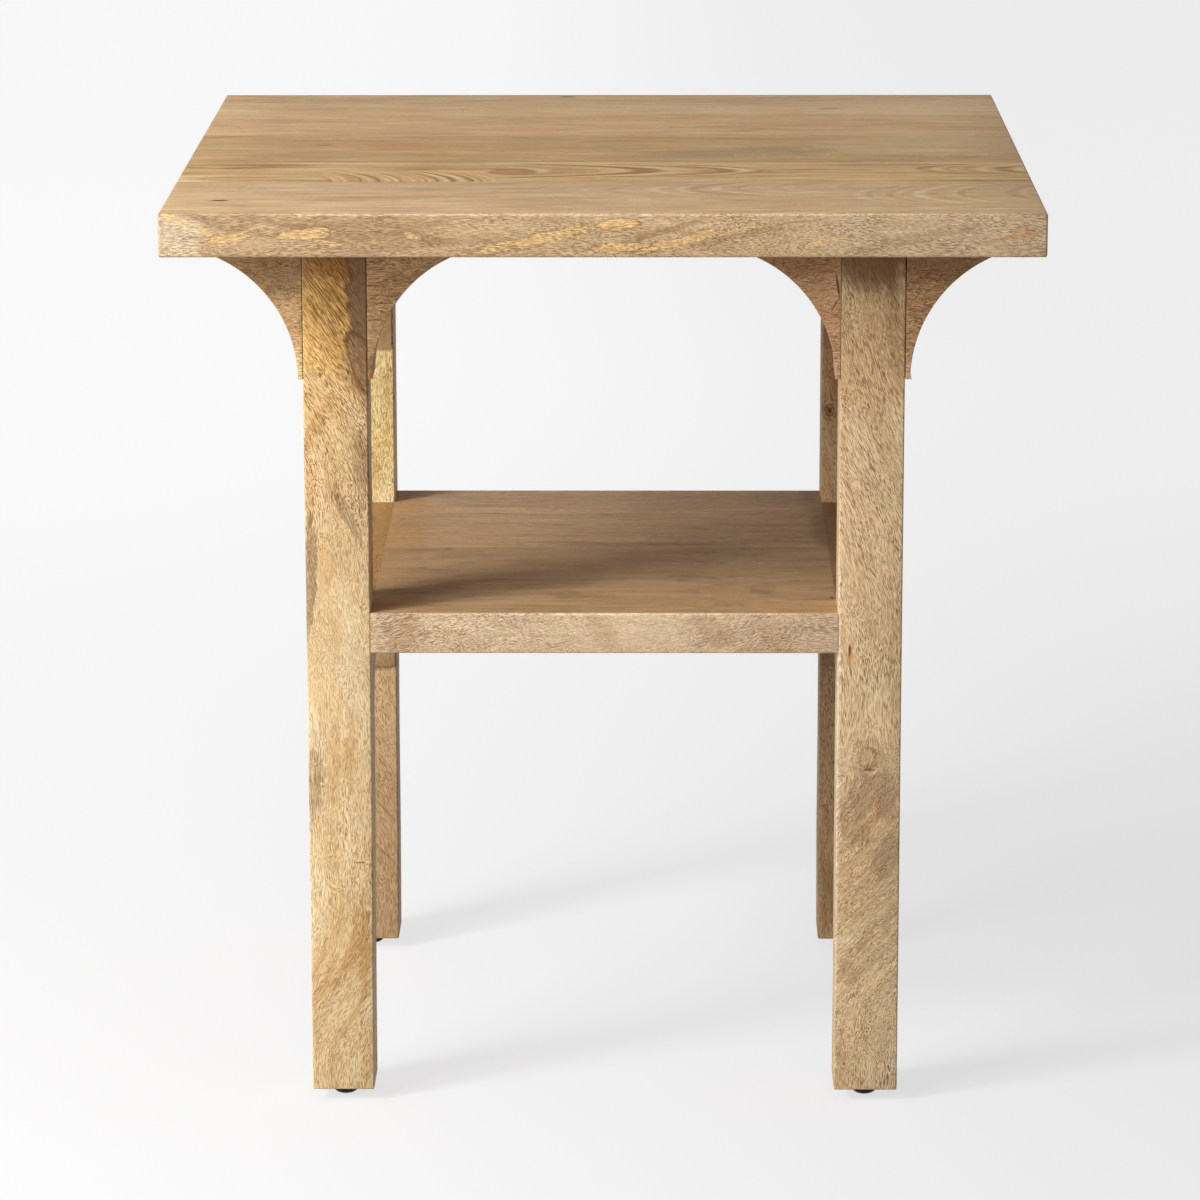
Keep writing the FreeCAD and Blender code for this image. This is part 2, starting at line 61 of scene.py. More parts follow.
class Recipe:
    """One material's nodes, with a short call for each kind."""

    def __init__(self, name):
        self.material = bpy.data.materials.new(name)
        self.material.use_nodes = True
        self.tree = self.material.node_tree
        self.shader = self.tree.nodes["Principled BSDF"]
        self.output = self.tree.nodes["Material Output"]
        place = self.add("ShaderNodeTexCoord").outputs["Object"]
        self.place = self.vector("SCALE", place, scale=1 / MM)

    def add(self, kind, **settings):
        made = self.tree.nodes.new(kind)
        for key, value in settings.items():
            setattr(made, key, value)
        return made

    def feed(self, socket, value):
        if isinstance(value, bpy.types.NodeSocket):
            self.tree.links.new(value, socket)
        else:
            socket.default_value = value

    def math(self, operation, first, second=0.0, third=0.0, clamp=False):
        made = self.add("ShaderNodeMath", operation=operation, use_clamp=clamp)
        for socket, value in zip(made.inputs, (first, second, third)):
            self.feed(socket, value)
        return made.outputs[0]

    def vector(self, operation, first, second=(0.0, 0.0, 0.0), scale=None):
        made = self.add("ShaderNodeVectorMath", operation=operation)
        self.feed(made.inputs[0], first)
        if operation == "SCALE":
            self.feed(made.inputs["Scale"], scale)
        elif operation != "LENGTH":
            self.feed(made.inputs[1], second)
        return made.outputs["Value" if operation == "LENGTH" else "Vector"]

    def split(self, vector):
        made = self.add("ShaderNodeSeparateXYZ")
        self.feed(made.inputs[0], vector)
        return made.outputs[0], made.outputs[1], made.outputs[2]

    def join(self, x, y, z):
        made = self.add("ShaderNodeCombineXYZ")
        for socket, value in zip(made.inputs, (x, y, z)):
            self.feed(socket, value)
        return made.outputs[0]

    def noise(self, place, detail=2.0, roughness=0.5, colour=False, line=False):
        """Noise at a place, or with line at one value."""
        made = self.add("ShaderNodeTexNoise", noise_dimensions="1D" if line else "3D")
        self.feed(made.inputs["W" if line else "Vector"], place)
        for socket, value in (("Scale", 1.0), ("Detail", detail), ("Roughness", roughness)):
            made.inputs[socket].default_value = value
        return made.outputs["Color" if colour else "Fac"]

    def sway(self, place, detail, roughness):
        """Noise from -0.5 to 0.5 on each axis."""
        made = self.noise(place, detail, roughness, colour=True)
        return self.vector("SUBTRACT", made, (0.5, 0.5, 0.5))

    def fade(self, value, low, high, start=0.0, end=1.0):
        made = self.add("ShaderNodeMapRange", interpolation_type="SMOOTHSTEP")
        for socket, number in zip(made.inputs, (value, low, high, start, end)):
            self.feed(socket, number)
        return made.outputs["Result"]

    def mix(self, share, first, second, blend="MIX"):
        made = self.add("ShaderNodeMix", data_type="RGBA", blend_type=blend)
        self.feed(made.inputs["Factor"], share)
        colours = [s for s in made.inputs if s.type == "RGBA"]
        self.feed(colours[0], first)
        self.feed(colours[1], second)
        return [s for s in made.outputs if s.type == "RGBA"][0]

    def ramp(self, value, stops):
        made = self.add("ShaderNodeValToRGB")
        made.color_ramp.interpolation = "EASE"
        points = made.color_ramp.elements
        while len(points) < len(stops):
            points.new(0.5)
        for point, (position, colour) in zip(points, stops):
            point.position = position
            point.color = colour
        self.feed(made.inputs["Fac"], value)
        return made.outputs["Color"]

    def zone(self, centre, reach, lean=0.0, ragged=0.0, drift=None):
        """The place from a centre, with a length of 1 at the reach.

        The lean, in degrees, turns the zone to the left, seen from the front.
        """
        made = self.add("ShaderNodeMapping", vector_type="TEXTURE")
        self.feed(made.inputs["Vector"], self.place)
        made.inputs["Location"].default_value = centre
        made.inputs["Rotation"].default_value = (0.0, -math.radians(lean), 0.0)
        made.inputs["Scale"].default_value = reach
        inside = made.outputs["Vector"]
        if ragged and drift is not None:
            inside = self.vector("ADD", inside, self.vector("SCALE", drift, scale=ragged))
        return inside

    def finish(self, colour, roughness, height=None, step=0.0002, strength=1.0, gloss=0.3):
        self.feed(self.shader.inputs["Base Color"], colour)
        self.feed(self.shader.inputs["Roughness"], roughness)
        self.shader.inputs["Specular IOR Level"].default_value = gloss
        if height is not None:
            bump = self.add("ShaderNodeBump")
            bump.inputs["Strength"].default_value = strength
            bump.inputs["Distance"].default_value = step
            self.feed(bump.inputs["Height"], height)
            self.feed(self.shader.inputs["Normal"], bump.outputs["Normal"])
        return self.material


# Wood tones of this table
DARK_RIM = tone(124, 90, 58)
UMBER = tone(150, 112, 74)
ASH_BROWN = tone(158, 130, 100)
ROSE_TAN = tone(206, 164, 130)
PORE = tone(124, 84, 50)
BARK = tone(66, 44, 28)
SPALT = tone(236, 196, 136)
AMBER = tone(208, 142, 78)
PALE_FLECK = tone(249, 230, 200)

# Faces that the wood's marks lie on, in mm
TOP = 614
FRONT = -280.0
LEG_FRONT = -196
SHELF = 336
SHELF_FRONT = -195.5


# Sizes of the patterns in mm: across the grain and along it
DRIFT_ACROSS = 42.0
CLOUD = (17.0, 75.0)
STREAK = (3.2, 90.0)
TINT = (15.0, 110.0)
CROWD = (9.0, 38.0)
RAGGED = (6.0, 22.0)
# Over what length along the grain ripples, arches and bands set in
RIPPLE_START = 25
FIGURE_START = 20
# How far the body's values lie from 0.5 where the darkest and lightest tones stand
BODY_SPREAD = 0.15
# The axis across the grain along which a knot or a band lies
ASIDE = {"x": "y", "y": "x", "z": "x"}


def wood(
    name,
    along,
    seed,
    dark,
    middle,
    light,
    bends=(),
    wave=(6.0, 110.0),
    ripple=None,
    curl=None,
    rings=None,
    arches=(),
    streaks=0.3,
    contrast=1.0,
    tint=None,
    pores=(0.33, 5.0, 0.85),
    pore_tone=PORE,
    hairs=(0.5, 9.0),
    calm=(),
    open_face=None,
    strokes=(),
    fibre=0.08,
    roughness=0.5,
    gloss=0.3,
    relief=0.0002,
    spots=(),
    knots=(),
    lines=(),
):
    """Procedural wood. Lengths are mm; a is the place along the grain, u and v are across it.

    bends: (low a, high a, shift of u, shift of v), which lean the grain between two places.
    wave: how far the grain drifts aside and over what length.
    ripple: small waves, (how far, over what length, low a, high a).
    curl: light bands across the grain, (low a, high a, lean, spacing, share).
    rings: the pith's place u, v, its lean along the grain in u and v, the spacing and the share.
    arches: nested arches, (u of the tips, steepness, spacing, reach in u, low a, high a, share);
        a steepness above 0 points them up the grain, one below 0 down it.
    pores: width, length and how dark; open_face: (axis, place, share of pores elsewhere).
    hairs: width and length of the pale and dark fibres.
    calm: where pores fade, (centre, half size, share).
    strokes: where longer, darker pores lie, (centre, half size, lean, share).
    spots: (centre, half size, lean, tone, share, ragged, outline); some of them are painted shade
    and painted highlights. lines: the same, thin.
    knots: (centre, half size, strength, tone, tone of the core).
    """
    r = Recipe(name)
    shift = (seed * 37.1, seed * 17.3, seed * 91.7)
    own = r.split(r.place)
    a, u, v = (own["xyz".index(axis)] for axis in {"x": "xyz", "y": "yxz", "z": "zxy"}[along])
    beside = "xyz".index(ASIDE[along])

    def between(low, high, start):
        """1 between two places along the grain, with a soft start at both."""
        return r.math("MULTIPLY", r.fade(a, low, low + start), r.fade(a, high, high - start))

    for low, high, aside, inwards in bends:
        far = r.fade(a, low, high)
        u = r.math("MULTIPLY_ADD", far, aside, u)
        v = r.math("MULTIPLY_ADD", far, inwards, v)
    place = r.join(u, v, a)
    for centre, reach, strength, _, _ in knots:
        inside = r.zone(centre, reach)
        aside = r.split(inside)[beside]
        around = r.fade(r.vector("LENGTH", inside), 0.0, 2.4, -strength, 0.0)
        place = r.vector("ADD", place, r.join(r.math("MULTIPLY", aside, around), 0.0, 0.0))
    reach, length = wave
    slow = r.vector("MULTIPLY", place, (1 / DRIFT_ACROSS, 1 / DRIFT_ACROSS, 1 / length))
    slow = r.vector("ADD", slow, shift)
    drift = r.sway(slow, 2.0, 0.5)
    flow = r.vector("ADD", place, r.vector("MULTIPLY", drift, (reach * 2, reach * 2, 0.0)))
    if ripple is not None:
        reach, length, low, high = ripple
        quick = r.vector("MULTIPLY", place, (1 / length, 1 / length, 1 / length))
        share = r.math("MULTIPLY", between(low, high, RIPPLE_START), reach * 2)
        waves = r.vector("SCALE", r.sway(quick, 1.0, 0.5), scale=share)
        flow = r.vector("ADD", flow, waves)
    fu, fv, fa = r.split(flow)

    def strands(across, lengthwise, detail=2.0, rough=0.5, offset=0.0):
        scaled = r.vector("MULTIPLY", flow, (1 / across, 1 / across, 1 / lengthwise))
        return r.noise(r.vector("ADD", scaled, tuple(s + offset for s in shift)), detail, rough)

    # The body: soft clouds, streaks and, where the board is flat-sawn, arches
    cloud = strands(*CLOUD, 3.0, 0.55, 5.0)
    streak = strands(*STREAK, 3.0, 0.6, 11.0)
    hair = strands(hairs[0], hairs[1], 2.0, 0.6, 23.0)
    body = r.math("MULTIPLY_ADD", streak, streaks, r.math("MULTIPLY", cloud, 1 - streaks))
    if rings is not None:
        pith_u, pith_v, lean_u, lean_v, spacing, ring_share = rings
        ru = r.math("SUBTRACT", r.math("MULTIPLY_ADD", fa, -lean_u, fu), pith_u)
        rv = r.math("SUBTRACT", r.math("MULTIPLY_ADD", fa, -lean_v, fv), pith_v)
        radius = r.vector("LENGTH", r.join(ru, rv, 0.0))
        level = r.math("MULTIPLY_ADD", radius, 1 / spacing, seed * 3.7)
        ring = r.noise(level, 2.0, 0.5, line=True)
        ring_share = r.fade(radius, 30.0, 85.0, ring_share, ring_share * 0.4)
        body = r.math("ADD", body, r.math("MULTIPLY", ring_share, r.math("SUBTRACT", ring, body)))
    for tip_u, steep, spacing, reach, low, high, share in arches:
        off = r.math("SUBTRACT", fu, tip_u)
        level = r.math("MULTIPLY_ADD", r.math("MULTIPLY", off, off), steep, fa)
        level = r.math("MULTIPLY_ADD", level, 1 / spacing, seed * 5.3)
        arch = r.noise(level, 1.0, 0.5, line=True)
        beside_tips = r.fade(r.math("ABSOLUTE", off), reach * 0.4, reach, share, 0.0)
        here = r.math("MULTIPLY", between(low, high, FIGURE_START), beside_tips)
        body = r.math("ADD", body, r.math("MULTIPLY", here, r.math("SUBTRACT", arch, body)))
    spread = BODY_SPREAD / contrast
    colour = r.ramp(
        r.math("MULTIPLY_ADD", body, 0.5 / spread, 0.5 - 0.25 / spread),
        ((0.0, dark), (0.5, middle), (1.0, light)),
    )
    if tint is not None:
        tint_tone, tint_share = tint
        where = r.fade(strands(*TINT, 2.0, 0.5, 31.0), 0.5, 0.68, 0.0, tint_share)
        colour = r.mix(where, colour, tint_tone)

    ragged = r.vector("MULTIPLY", flow, (1 / RAGGED[0], 1 / RAGGED[0], 1 / RAGGED[1]))
    ragged = r.sway(r.vector("ADD", ragged, shift), 4.0, 0.68)
    for centre, size, lean, spot_tone, share, rough_edge, outline in spots:
        far = r.vector("LENGTH", r.zone(centre, size, lean, rough_edge * 2.6, ragged))
        colour = r.mix(r.fade(far, 0.92 if outline else 0.6, 1.02, share, 0.0), colour, spot_tone)
        if outline:
            inner, outer = r.fade(far, 0.88, 0.99, 0.0, outline), r.fade(far, 1.0, 1.14, 1.0, 0.0)
            colour = r.mix(r.math("MULTIPLY", inner, outer), colour, DARK_RIM)
    if curl is not None:
        low, high, lean, spacing, share = curl
        turn = math.radians(lean)
        across = r.math("MULTIPLY", own[beside], -math.sin(turn))
        across = r.math("MULTIPLY_ADD", a, math.cos(turn), across)
        across = r.math("MULTIPLY_ADD", r.split(drift)[0], 16.0, across)
        bands = r.noise(r.math("MULTIPLY", across, 1 / spacing), 2.0, 0.6, line=True)
        here = between(low, high, FIGURE_START)
        paler = r.fade(bands, 0.40, 0.62, 1 - share, 1 + share)
        lit = r.mix(1.0, colour, r.join(paler, paler, paler), "MULTIPLY")
        colour = r.mix(here, colour, lit)

    # Pores: short dark dashes along the grain, and pale fibre between them
    width, lengthwise, darkness = pores
    grain = strands(width, lengthwise, 1.0, 0.5, 53.0)
    dense = r.fade(strands(*CROWD, 2.0, 0.5, 41.0), 0.36, 0.62, 0.65, 1.0)
    if open_face is not None:
        axis, at, elsewhere = open_face
        off = r.math("ABSOLUTE", r.math("SUBTRACT", own["xyz".index(axis)], at))
        dense = r.math("MULTIPLY", dense, r.fade(off, 0.8, 2.2, 1.0, elsewhere))
    for centre, size, share in calm:
        far = r.vector("LENGTH", r.zone(centre, size, 0.0, 1.0, ragged))
        dense = r.math("MULTIPLY", dense, r.fade(far, 0.5, 1.2, 1 - share, 1.0))
    dash = r.math("MULTIPLY", r.fade(grain, 0.52, 0.61), dense)
    colour = r.mix(r.math("MULTIPLY", dash, darkness), colour, pore_tone)
    if strokes:
        long_dash = r.fade(strands(width * 1.9, lengthwise * 2.2, 1.0, 0.5, 67.0), 0.51, 0.61)
        for centre, size, lean, share in strokes:
            far = r.vector("LENGTH", r.zone(centre, size, lean, 1.2, ragged))
            here = r.math("MULTIPLY", r.fade(far, 0.5, 1.1, share, 0.0), long_dash)
            colour = r.mix(here, colour, pore_tone)
    brighter = r.fade(hair, 0.3, 0.7, 1 - fibre, 1 + fibre)
    brighter = r.math("MULTIPLY_ADD", r.fade(grain, 0.46, 0.34), 0.12, brighter)
    colour = r.mix(1.0, colour, r.join(brighter, brighter, brighter), "MULTIPLY")

    for centre, reach, strength, knot_tone, core_tone in knots:
        far = r.vector("LENGTH", r.zone(centre, reach, 0.0, 0.6, ragged))
        loops = r.fade(r.math("SINE", r.math("MULTIPLY", far, 15.0)), -0.2, 0.9, 0.35, 1.0)
        loops = r.math("MULTIPLY", r.fade(far, 0.3, 1.4, 0.7, 0.0), loops)
        colour = r.mix(loops, colour, knot_tone)
        colour = r.mix(r.fade(far, 0.22, 0.42, 0.85, 0.0), colour, core_tone)
    for centre, size, lean, line_tone, share in lines:
        far = r.vector("LENGTH", r.zone(centre, size, lean, 0.3, ragged))
        colour = r.mix(r.fade(far, 0.5, 1.1, share, 0.0), colour, line_tone)

    shine = r.math("MULTIPLY_ADD", dash, 0.2, roughness)
    shine = r.math("MULTIPLY_ADD", streak, 0.12, r.math("SUBTRACT", shine, 0.06))
    height = r.math("MULTIPLY_ADD", hair, 0.25, r.math("MULTIPLY", dash, -1.0))
    return r.finish(colour, shine, height, relief, 0.8, gloss)


# Modelling tools


def deselect():
    if bpy.context.object is not None and bpy.context.object.mode != "OBJECT":
        bpy.ops.object.mode_set(mode="OBJECT")
    bpy.ops.object.select_all(action="DESELECT")


def hold(piece):
    """The piece alone is selected and active."""
    deselect()
    piece.select_set(True)
    bpy.context.view_layer.objects.active = piece


def settle(piece):
    """The object goes to the origin, with its place in its mesh."""
    hold(piece)
    bpy.ops.object.transform_apply(location=True, rotation=True, scale=True)


def block(name, low, high):
    low, high = Vector(low), Vector(high)
    deselect()
    bpy.ops.mesh.primitive_cube_add(size=1.0, location=(low + high) / 2)
    piece = bpy.context.active_object
    piece.name = piece.data.name = name
    piece.scale = high - low
    settle(piece)
    return piece


def cylinder(sides, radius, depth, place, turn=(0.0, 0.0, 0.0)):
    """A cylinder, upright unless it is turned."""
    deselect()
    bpy.ops.mesh.primitive_cylinder_add(
        vertices=sides, radius=radius, depth=depth, location=place, rotation=turn
    )
    piece = bpy.context.active_object
    settle(piece)
    return piece


def choose(piece, kind, test):
    """In edit mode, the vertices, edges or faces that pass the test are selected."""
    hold(piece)
    bpy.ops.object.mode_set(mode="EDIT")
    bpy.ops.mesh.select_mode(type={"verts": "VERT", "edges": "EDGE", "faces": "FACE"}[kind])
    bpy.ops.mesh.select_all(action="DESELECT")
    mesh = bmesh.from_edit_mesh(piece.data)
    for part in getattr(mesh, kind):
        if test(part):
            part.select_set(True)
    mesh.select_flush_mode()
    bmesh.update_edit_mesh(piece.data)


def middle(edge):
    return (edge.verts[0].co + edge.verts[1].co) / 2


def runs(edge, axis):
    """The edge lies along that axis."""
    way = (edge.verts[1].co - edge.verts[0].co).normalized()
    return abs(way[axis]) > 0.99


def ease(piece, test, width, segments=3):
    """The picked edges are rounded over."""
    choose(piece, "edges", test)
    bpy.ops.mesh.bevel(offset=width, segments=segments, affect="EDGES", profile=0.5)
    bpy.ops.object.mode_set(mode="OBJECT")


def slice_across(piece, axis, places):
    """Cuts right round the piece, which give it places to be uneven at."""
    normal = [0.0, 0.0, 0.0]
    normal[axis] = 1.0
    for place in places:
        point = [0.0, 0.0, 0.0]
        point[axis] = place
        choose(piece, "faces", lambda face: True)
        bpy.ops.mesh.bisect(plane_co=point, plane_no=normal)
    bpy.ops.object.mode_set(mode="OBJECT")


def even_cuts(low, high, parts):
    """The places between two ends that cut a length into equal parts."""
    return [low + (high - low) * step / parts for step in range(1, parts)]


def nudge(piece, test, move):
    """The picked vertices are moved by a little."""
    choose(piece, "verts", test)
    bpy.ops.transform.translate(value=move)
    bpy.ops.object.mode_set(mode="OBJECT")


def soften(piece, angle=35.0):
    hold(piece)
    bpy.ops.object.shade_smooth_by_angle(angle=math.radians(angle))


def square_up(piece):
    """Faces outwards and merged, after a cut."""
    choose(piece, "verts", lambda vert: True)
    bpy.ops.mesh.remove_doubles(threshold=0.00001)
    bpy.ops.mesh.normals_make_consistent(inside=False)
    bpy.ops.object.mode_set(mode="OBJECT")


def carve(piece, cutter):
    """The cutter's shape is taken out of the piece."""
    hold(piece)
    modifier = piece.modifiers.new("carve", "BOOLEAN")
    modifier.operation = "DIFFERENCE"
    modifier.solver = "EXACT"
    modifier.object = cutter
    bpy.ops.object.modifier_apply(modifier=modifier.name)
    bpy.data.objects.remove(cutter)


def paint(piece, material):
    piece.data.materials.clear()
    piece.data.materials.append(material)


def dress(piece, material, node):
    """The piece gets its finish, stands for its node and rides on the table."""
    paint(piece, material)
    soften(piece)
    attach(piece, "root")
    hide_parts(node)


def near(value, target, within=0.00006):
    return abs(value - target) < within


def on_front(y, **marks):
    """Marks for wood(), given by x and z, on a face that looks to the front."""
    return {
        kind: [((x, y, z), *rest) for (x, z), *rest in rows] for kind, rows in marks.items()
    }


# Top

EASING = 1.5 * MM
TOP_SLICES = 12
top_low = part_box("tabletop_plank_1")[0]
top_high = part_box("tabletop_plank_5")[1]

# Marks of the front edge, as wood() takes its spots
front_shades = [
    ((0, FRONT, 600), (900, 2.2, 900), 0, tone(186, 160, 125), 0.5, 0.0, 0),
    ((215, FRONT, 600), (120, 6, 24), 0, tone(216, 190, 156), 0.45, 0.5, 0),
    ((10, FRONT, 604), (90, 6, 14), 0, tone(216, 188, 146), 0.35, 0.8, 0),
    ((-155, FRONT, 604), (72, 6, 12), 0, tone(164, 131, 92), 0.6, 0.8, 0),
    ((-252, FRONT, 610), (30, 6, 4.5), -16, ASH_BROWN, 0.45, 0.8, 0),
    ((-205, FRONT, 608), (34, 6, 3.0), -8, ASH_BROWN, 0.40, 0.8, 0),
    ((-120, FRONT, 594), (60, 6, 4.0), 6, UMBER, 0.28, 0.9, 0),
    ((35, FRONT, 602), (42, 6, 2.6), 16, UMBER, 0.45, 0.9, 0),
    ((90, FRONT, 601), (50, 6, 2.8), 13, ASH_BROWN, 0.45, 0.9, 0),
    ((190, FRONT, 596), (60, 6, 5.0), 12, ASH_BROWN, 0.35, 0.8, 0),
]
front_spalt = [
    ((-262, FRONT, 607), (19, 6, 2.8), -24, SPALT, 0.75, 0.8, 0.3),
    ((-266, FRONT, 592), (14, 6, 3.4), -8, SPALT, 0.75, 0.8, 0.3),
    ((-236, FRONT, 598.5), (13, 6, 3.6), 6, SPALT, 0.85, 0.8, 0.4),
    ((-190, FRONT, 600.5), (20, 6, 3.4), 5, SPALT, 0.85, 0.9, 0.5),
    ((-172, FRONT, 595), (12, 5, 1.8), -10, SPALT, 0.6, 0.9, 0.3),
    ((-121, FRONT, 600), (5, 5, 2.0), -20, SPALT, 0.8, 0.7, 0.3),
    ((-62, FRONT, 593), (20, 6, 3.2), 12, SPALT, 0.9, 0.9, 0.4),
    ((-34, FRONT, 599), (24, 6, 4.0), 14, SPALT, 0.85, 0.9, 0.4),
    ((10, FRONT, 606.5), (13, 6, 4.2), 6, SPALT, 0.9, 0.6, 0.5),
    ((8, FRONT, 592.5), (18, 6, 3.4), 3, SPALT, 0.85, 0.8, 0.5),
    ((48, FRONT, 596), (30, 6, 3.0), 14, SPALT, 0.85, 0.9, 0.5),
    ((84, FRONT, 603), (22, 5, 1.8), 12, SPALT, 0.6, 0.9, 0.3),
    ((138, FRONT, 596.0), (18, 5, 1.8), 15, SPALT, 0.75, 0.8, 0.2),
    ((262, FRONT, 600), (16, 6, 2.2), 12, AMBER, 0.5, 0.8, 0),
    ((-268, FRONT, 598), (20, 6, 18), 0, tone(226, 208, 180), 0.6, 0.7, 0),
]
# Painted highlight: a pale line along the top's rounded front edge, where it catches the light
painted_edge_highlight = ((0, FRONT + 0.4, TOP - 0.4), (290, 1.5, 1.5), 0, tone(246, 222, 186), 0.6, 0.0, 0)

planks = [
    dict(
        dark=tone(201, 162, 116), middle=tone(227, 190, 143), light=tone(245, 213, 167),
        rings=(-258.0, 540.0, 0.0, 0.10, 9.0, 0.25), bends=((-60, 300, -24, 26),),
        tint=(ROSE_TAN, 0.4),
        arches=(
            (-184, -0.05, 14.0, 44.0, -50, 170, 0.4), (-218, -0.018, 10.0, 60.0, 150, 290, 0.4),
        ),
        spots=front_shades + front_spalt + [painted_edge_highlight],
        lines=[((-245, -226, TOP), (7.0, 2.6, 1.5), 0, BARK, 1.0)],
    ),
    dict(
        dark=tone(182, 138, 86), middle=tone(229, 186, 130), light=tone(250, 215, 162),
        wave=(3.0, 90.0), contrast=1.15,
        arches=(
            (-146, 0.012, 5.5, 62.0, -190, -60, 0.75), (-97, 0.09, 24.0, 44.0, -70, 110, 0.6),
            (-90, -0.06, 13.0, 40.0, 165, 300, 0.45),
        ),
        spots=[
            ((60, -62, TOP), (250, 2.6, 4), 0, tone(250, 228, 173), 0.5, 0.3, 0),
            ((-238, -132, TOP), (42, 13, 5), 0, tone(206, 160, 104), 0.6, 0.6, 0),
            ((150, -106, TOP), (150, 4, 5), 0, tone(195, 149, 93), 0.5, 0.5, 0),
            ((-61, -103, TOP), (15, 13, 5), 0, tone(189, 140, 91), 0.75, 0.35, 0.5),
            ((-20, -98, TOP), (17, 9, 5), 0, tone(211, 164, 114), 0.5, 0.5, 0.4),
            ((48, -97, TOP), (27, 6, 5), 0, tone(198, 151, 99), 0.5, 0.5, 0),
        ],
    ),
    dict(
        dark=tone(194, 150, 100), middle=tone(218, 178, 126), light=tone(236, 198, 147),
        rings=(40.0, 520.0, 0.03, 0.08, 9.0, 0.25), wave=(13.0, 150.0),
        tint=(tone(219, 167, 109), 0.4),
        spots=[
            ((-40, -54, TOP), (230, 5, 4), 0, tone(196, 154, 105), 0.55, 0.5, 0),
            ((62, -20, TOP), (46, 26, 6), 0, tone(194, 162, 126), 0.6, 0.7, 0),
            ((120, -5, TOP), (40, 22, 6), 0, tone(181, 156, 122), 0.6, 0.9, 0),
            ((205, -40, TOP), (50, 16, 6), 0, tone(181, 154, 120), 0.35, 0.8, 0),
            ((225, 20, TOP), (100, 60, 6), 0, tone(236, 202, 156), 0.45, 0.6, 0),
            ((-120, 15, TOP), (90, 12, 6), 0, tone(226, 173, 116), 0.5, 0.7, 0),
        ],
        lines=[
            ((-193, 22, TOP), (9, 2.4, 1), 0, BARK, 0.5),
            ((88, -26, TOP), (0.9, 1.6, 1), 0, PALE_FLECK, 0.8),
            ((99, -29, TOP), (0.8, 1.5, 1), 0, PALE_FLECK, 0.7),
            ((107, -27, TOP), (1.0, 1.6, 1), 0, PALE_FLECK, 0.8),
            ((150, -24, TOP), (1.2, 1.6, 1), 0, PALE_FLECK, 0.8),
            ((257, -24, TOP), (1.5, 1.9, 1), 0, PALE_FLECK, 0.9),
        ],
    ),
    dict(
        dark=tone(211, 166, 120), middle=tone(234, 193, 143), light=tone(249, 210, 160),
        rings=(120.0, 500.0, 0.0, 0.05, 8.0, 0.2), wave=(13.0, 150.0),
        tint=(tone(236, 181, 126), 0.45),
    ),
    dict(
        dark=tone(217, 174, 127), middle=tone(245, 204, 154), light=tone(250, 224, 175),
        rings=(230.0, 540.0, -0.02, 0.06, 8.0, 0.3), wave=(13.0, 150.0),
        tint=(tone(234, 184, 129), 0.4),
        spots=[
            ((150, 245, TOP), (110, 26, 6), 0, tone(204, 169, 134), 0.25, 0.8, 0),
            ((215, 215, TOP), (110, 60, 6), 0, tone(255, 222, 176), 0.45, 0.6, 0),
        ],
        lines=[
            ((160, 206, TOP), (9, 2.0, 1), 0, BARK, 0.7),
            ((-30, 268, TOP), (7, 3.5, 1), 0, BARK, 0.7),
        ],
    ),
]
for number, look in enumerate(planks, start=1):
    node = f"tabletop_plank_{number}"
    low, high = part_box(node)
    plank = block(f"top_plank_{number}", low, high)
    slice_across(plank, 0, even_cuts(low.x, high.x, TOP_SLICES))

    def outer(edge):
        """Edges on the top's rim, where a hand would touch it."""
        spot = middle(edge)
        at_end = near(spot.x, low.x) or near(spot.x, high.x)
        at_face = near(spot.y, top_low.y) or near(spot.y, top_high.y)
        along_face = at_face and (runs(edge, 0) or (runs(edge, 2) and at_end))
        return along_face or (runs(edge, 1) and at_end)

    ease(plank, outer, EASING, 4)
    material = wood(
        f"top wood {number}", "x", 2.3 + number * 1.9, streaks=0.55, pores=(0.33, 4.4, 0.66),
        hairs=(4.2, 46.0), open_face=("y", FRONT, 0.3), fibre=0.06, roughness=0.45, gloss=0.2,
        **look
    )
    dress(plank, material, node)

# Legs

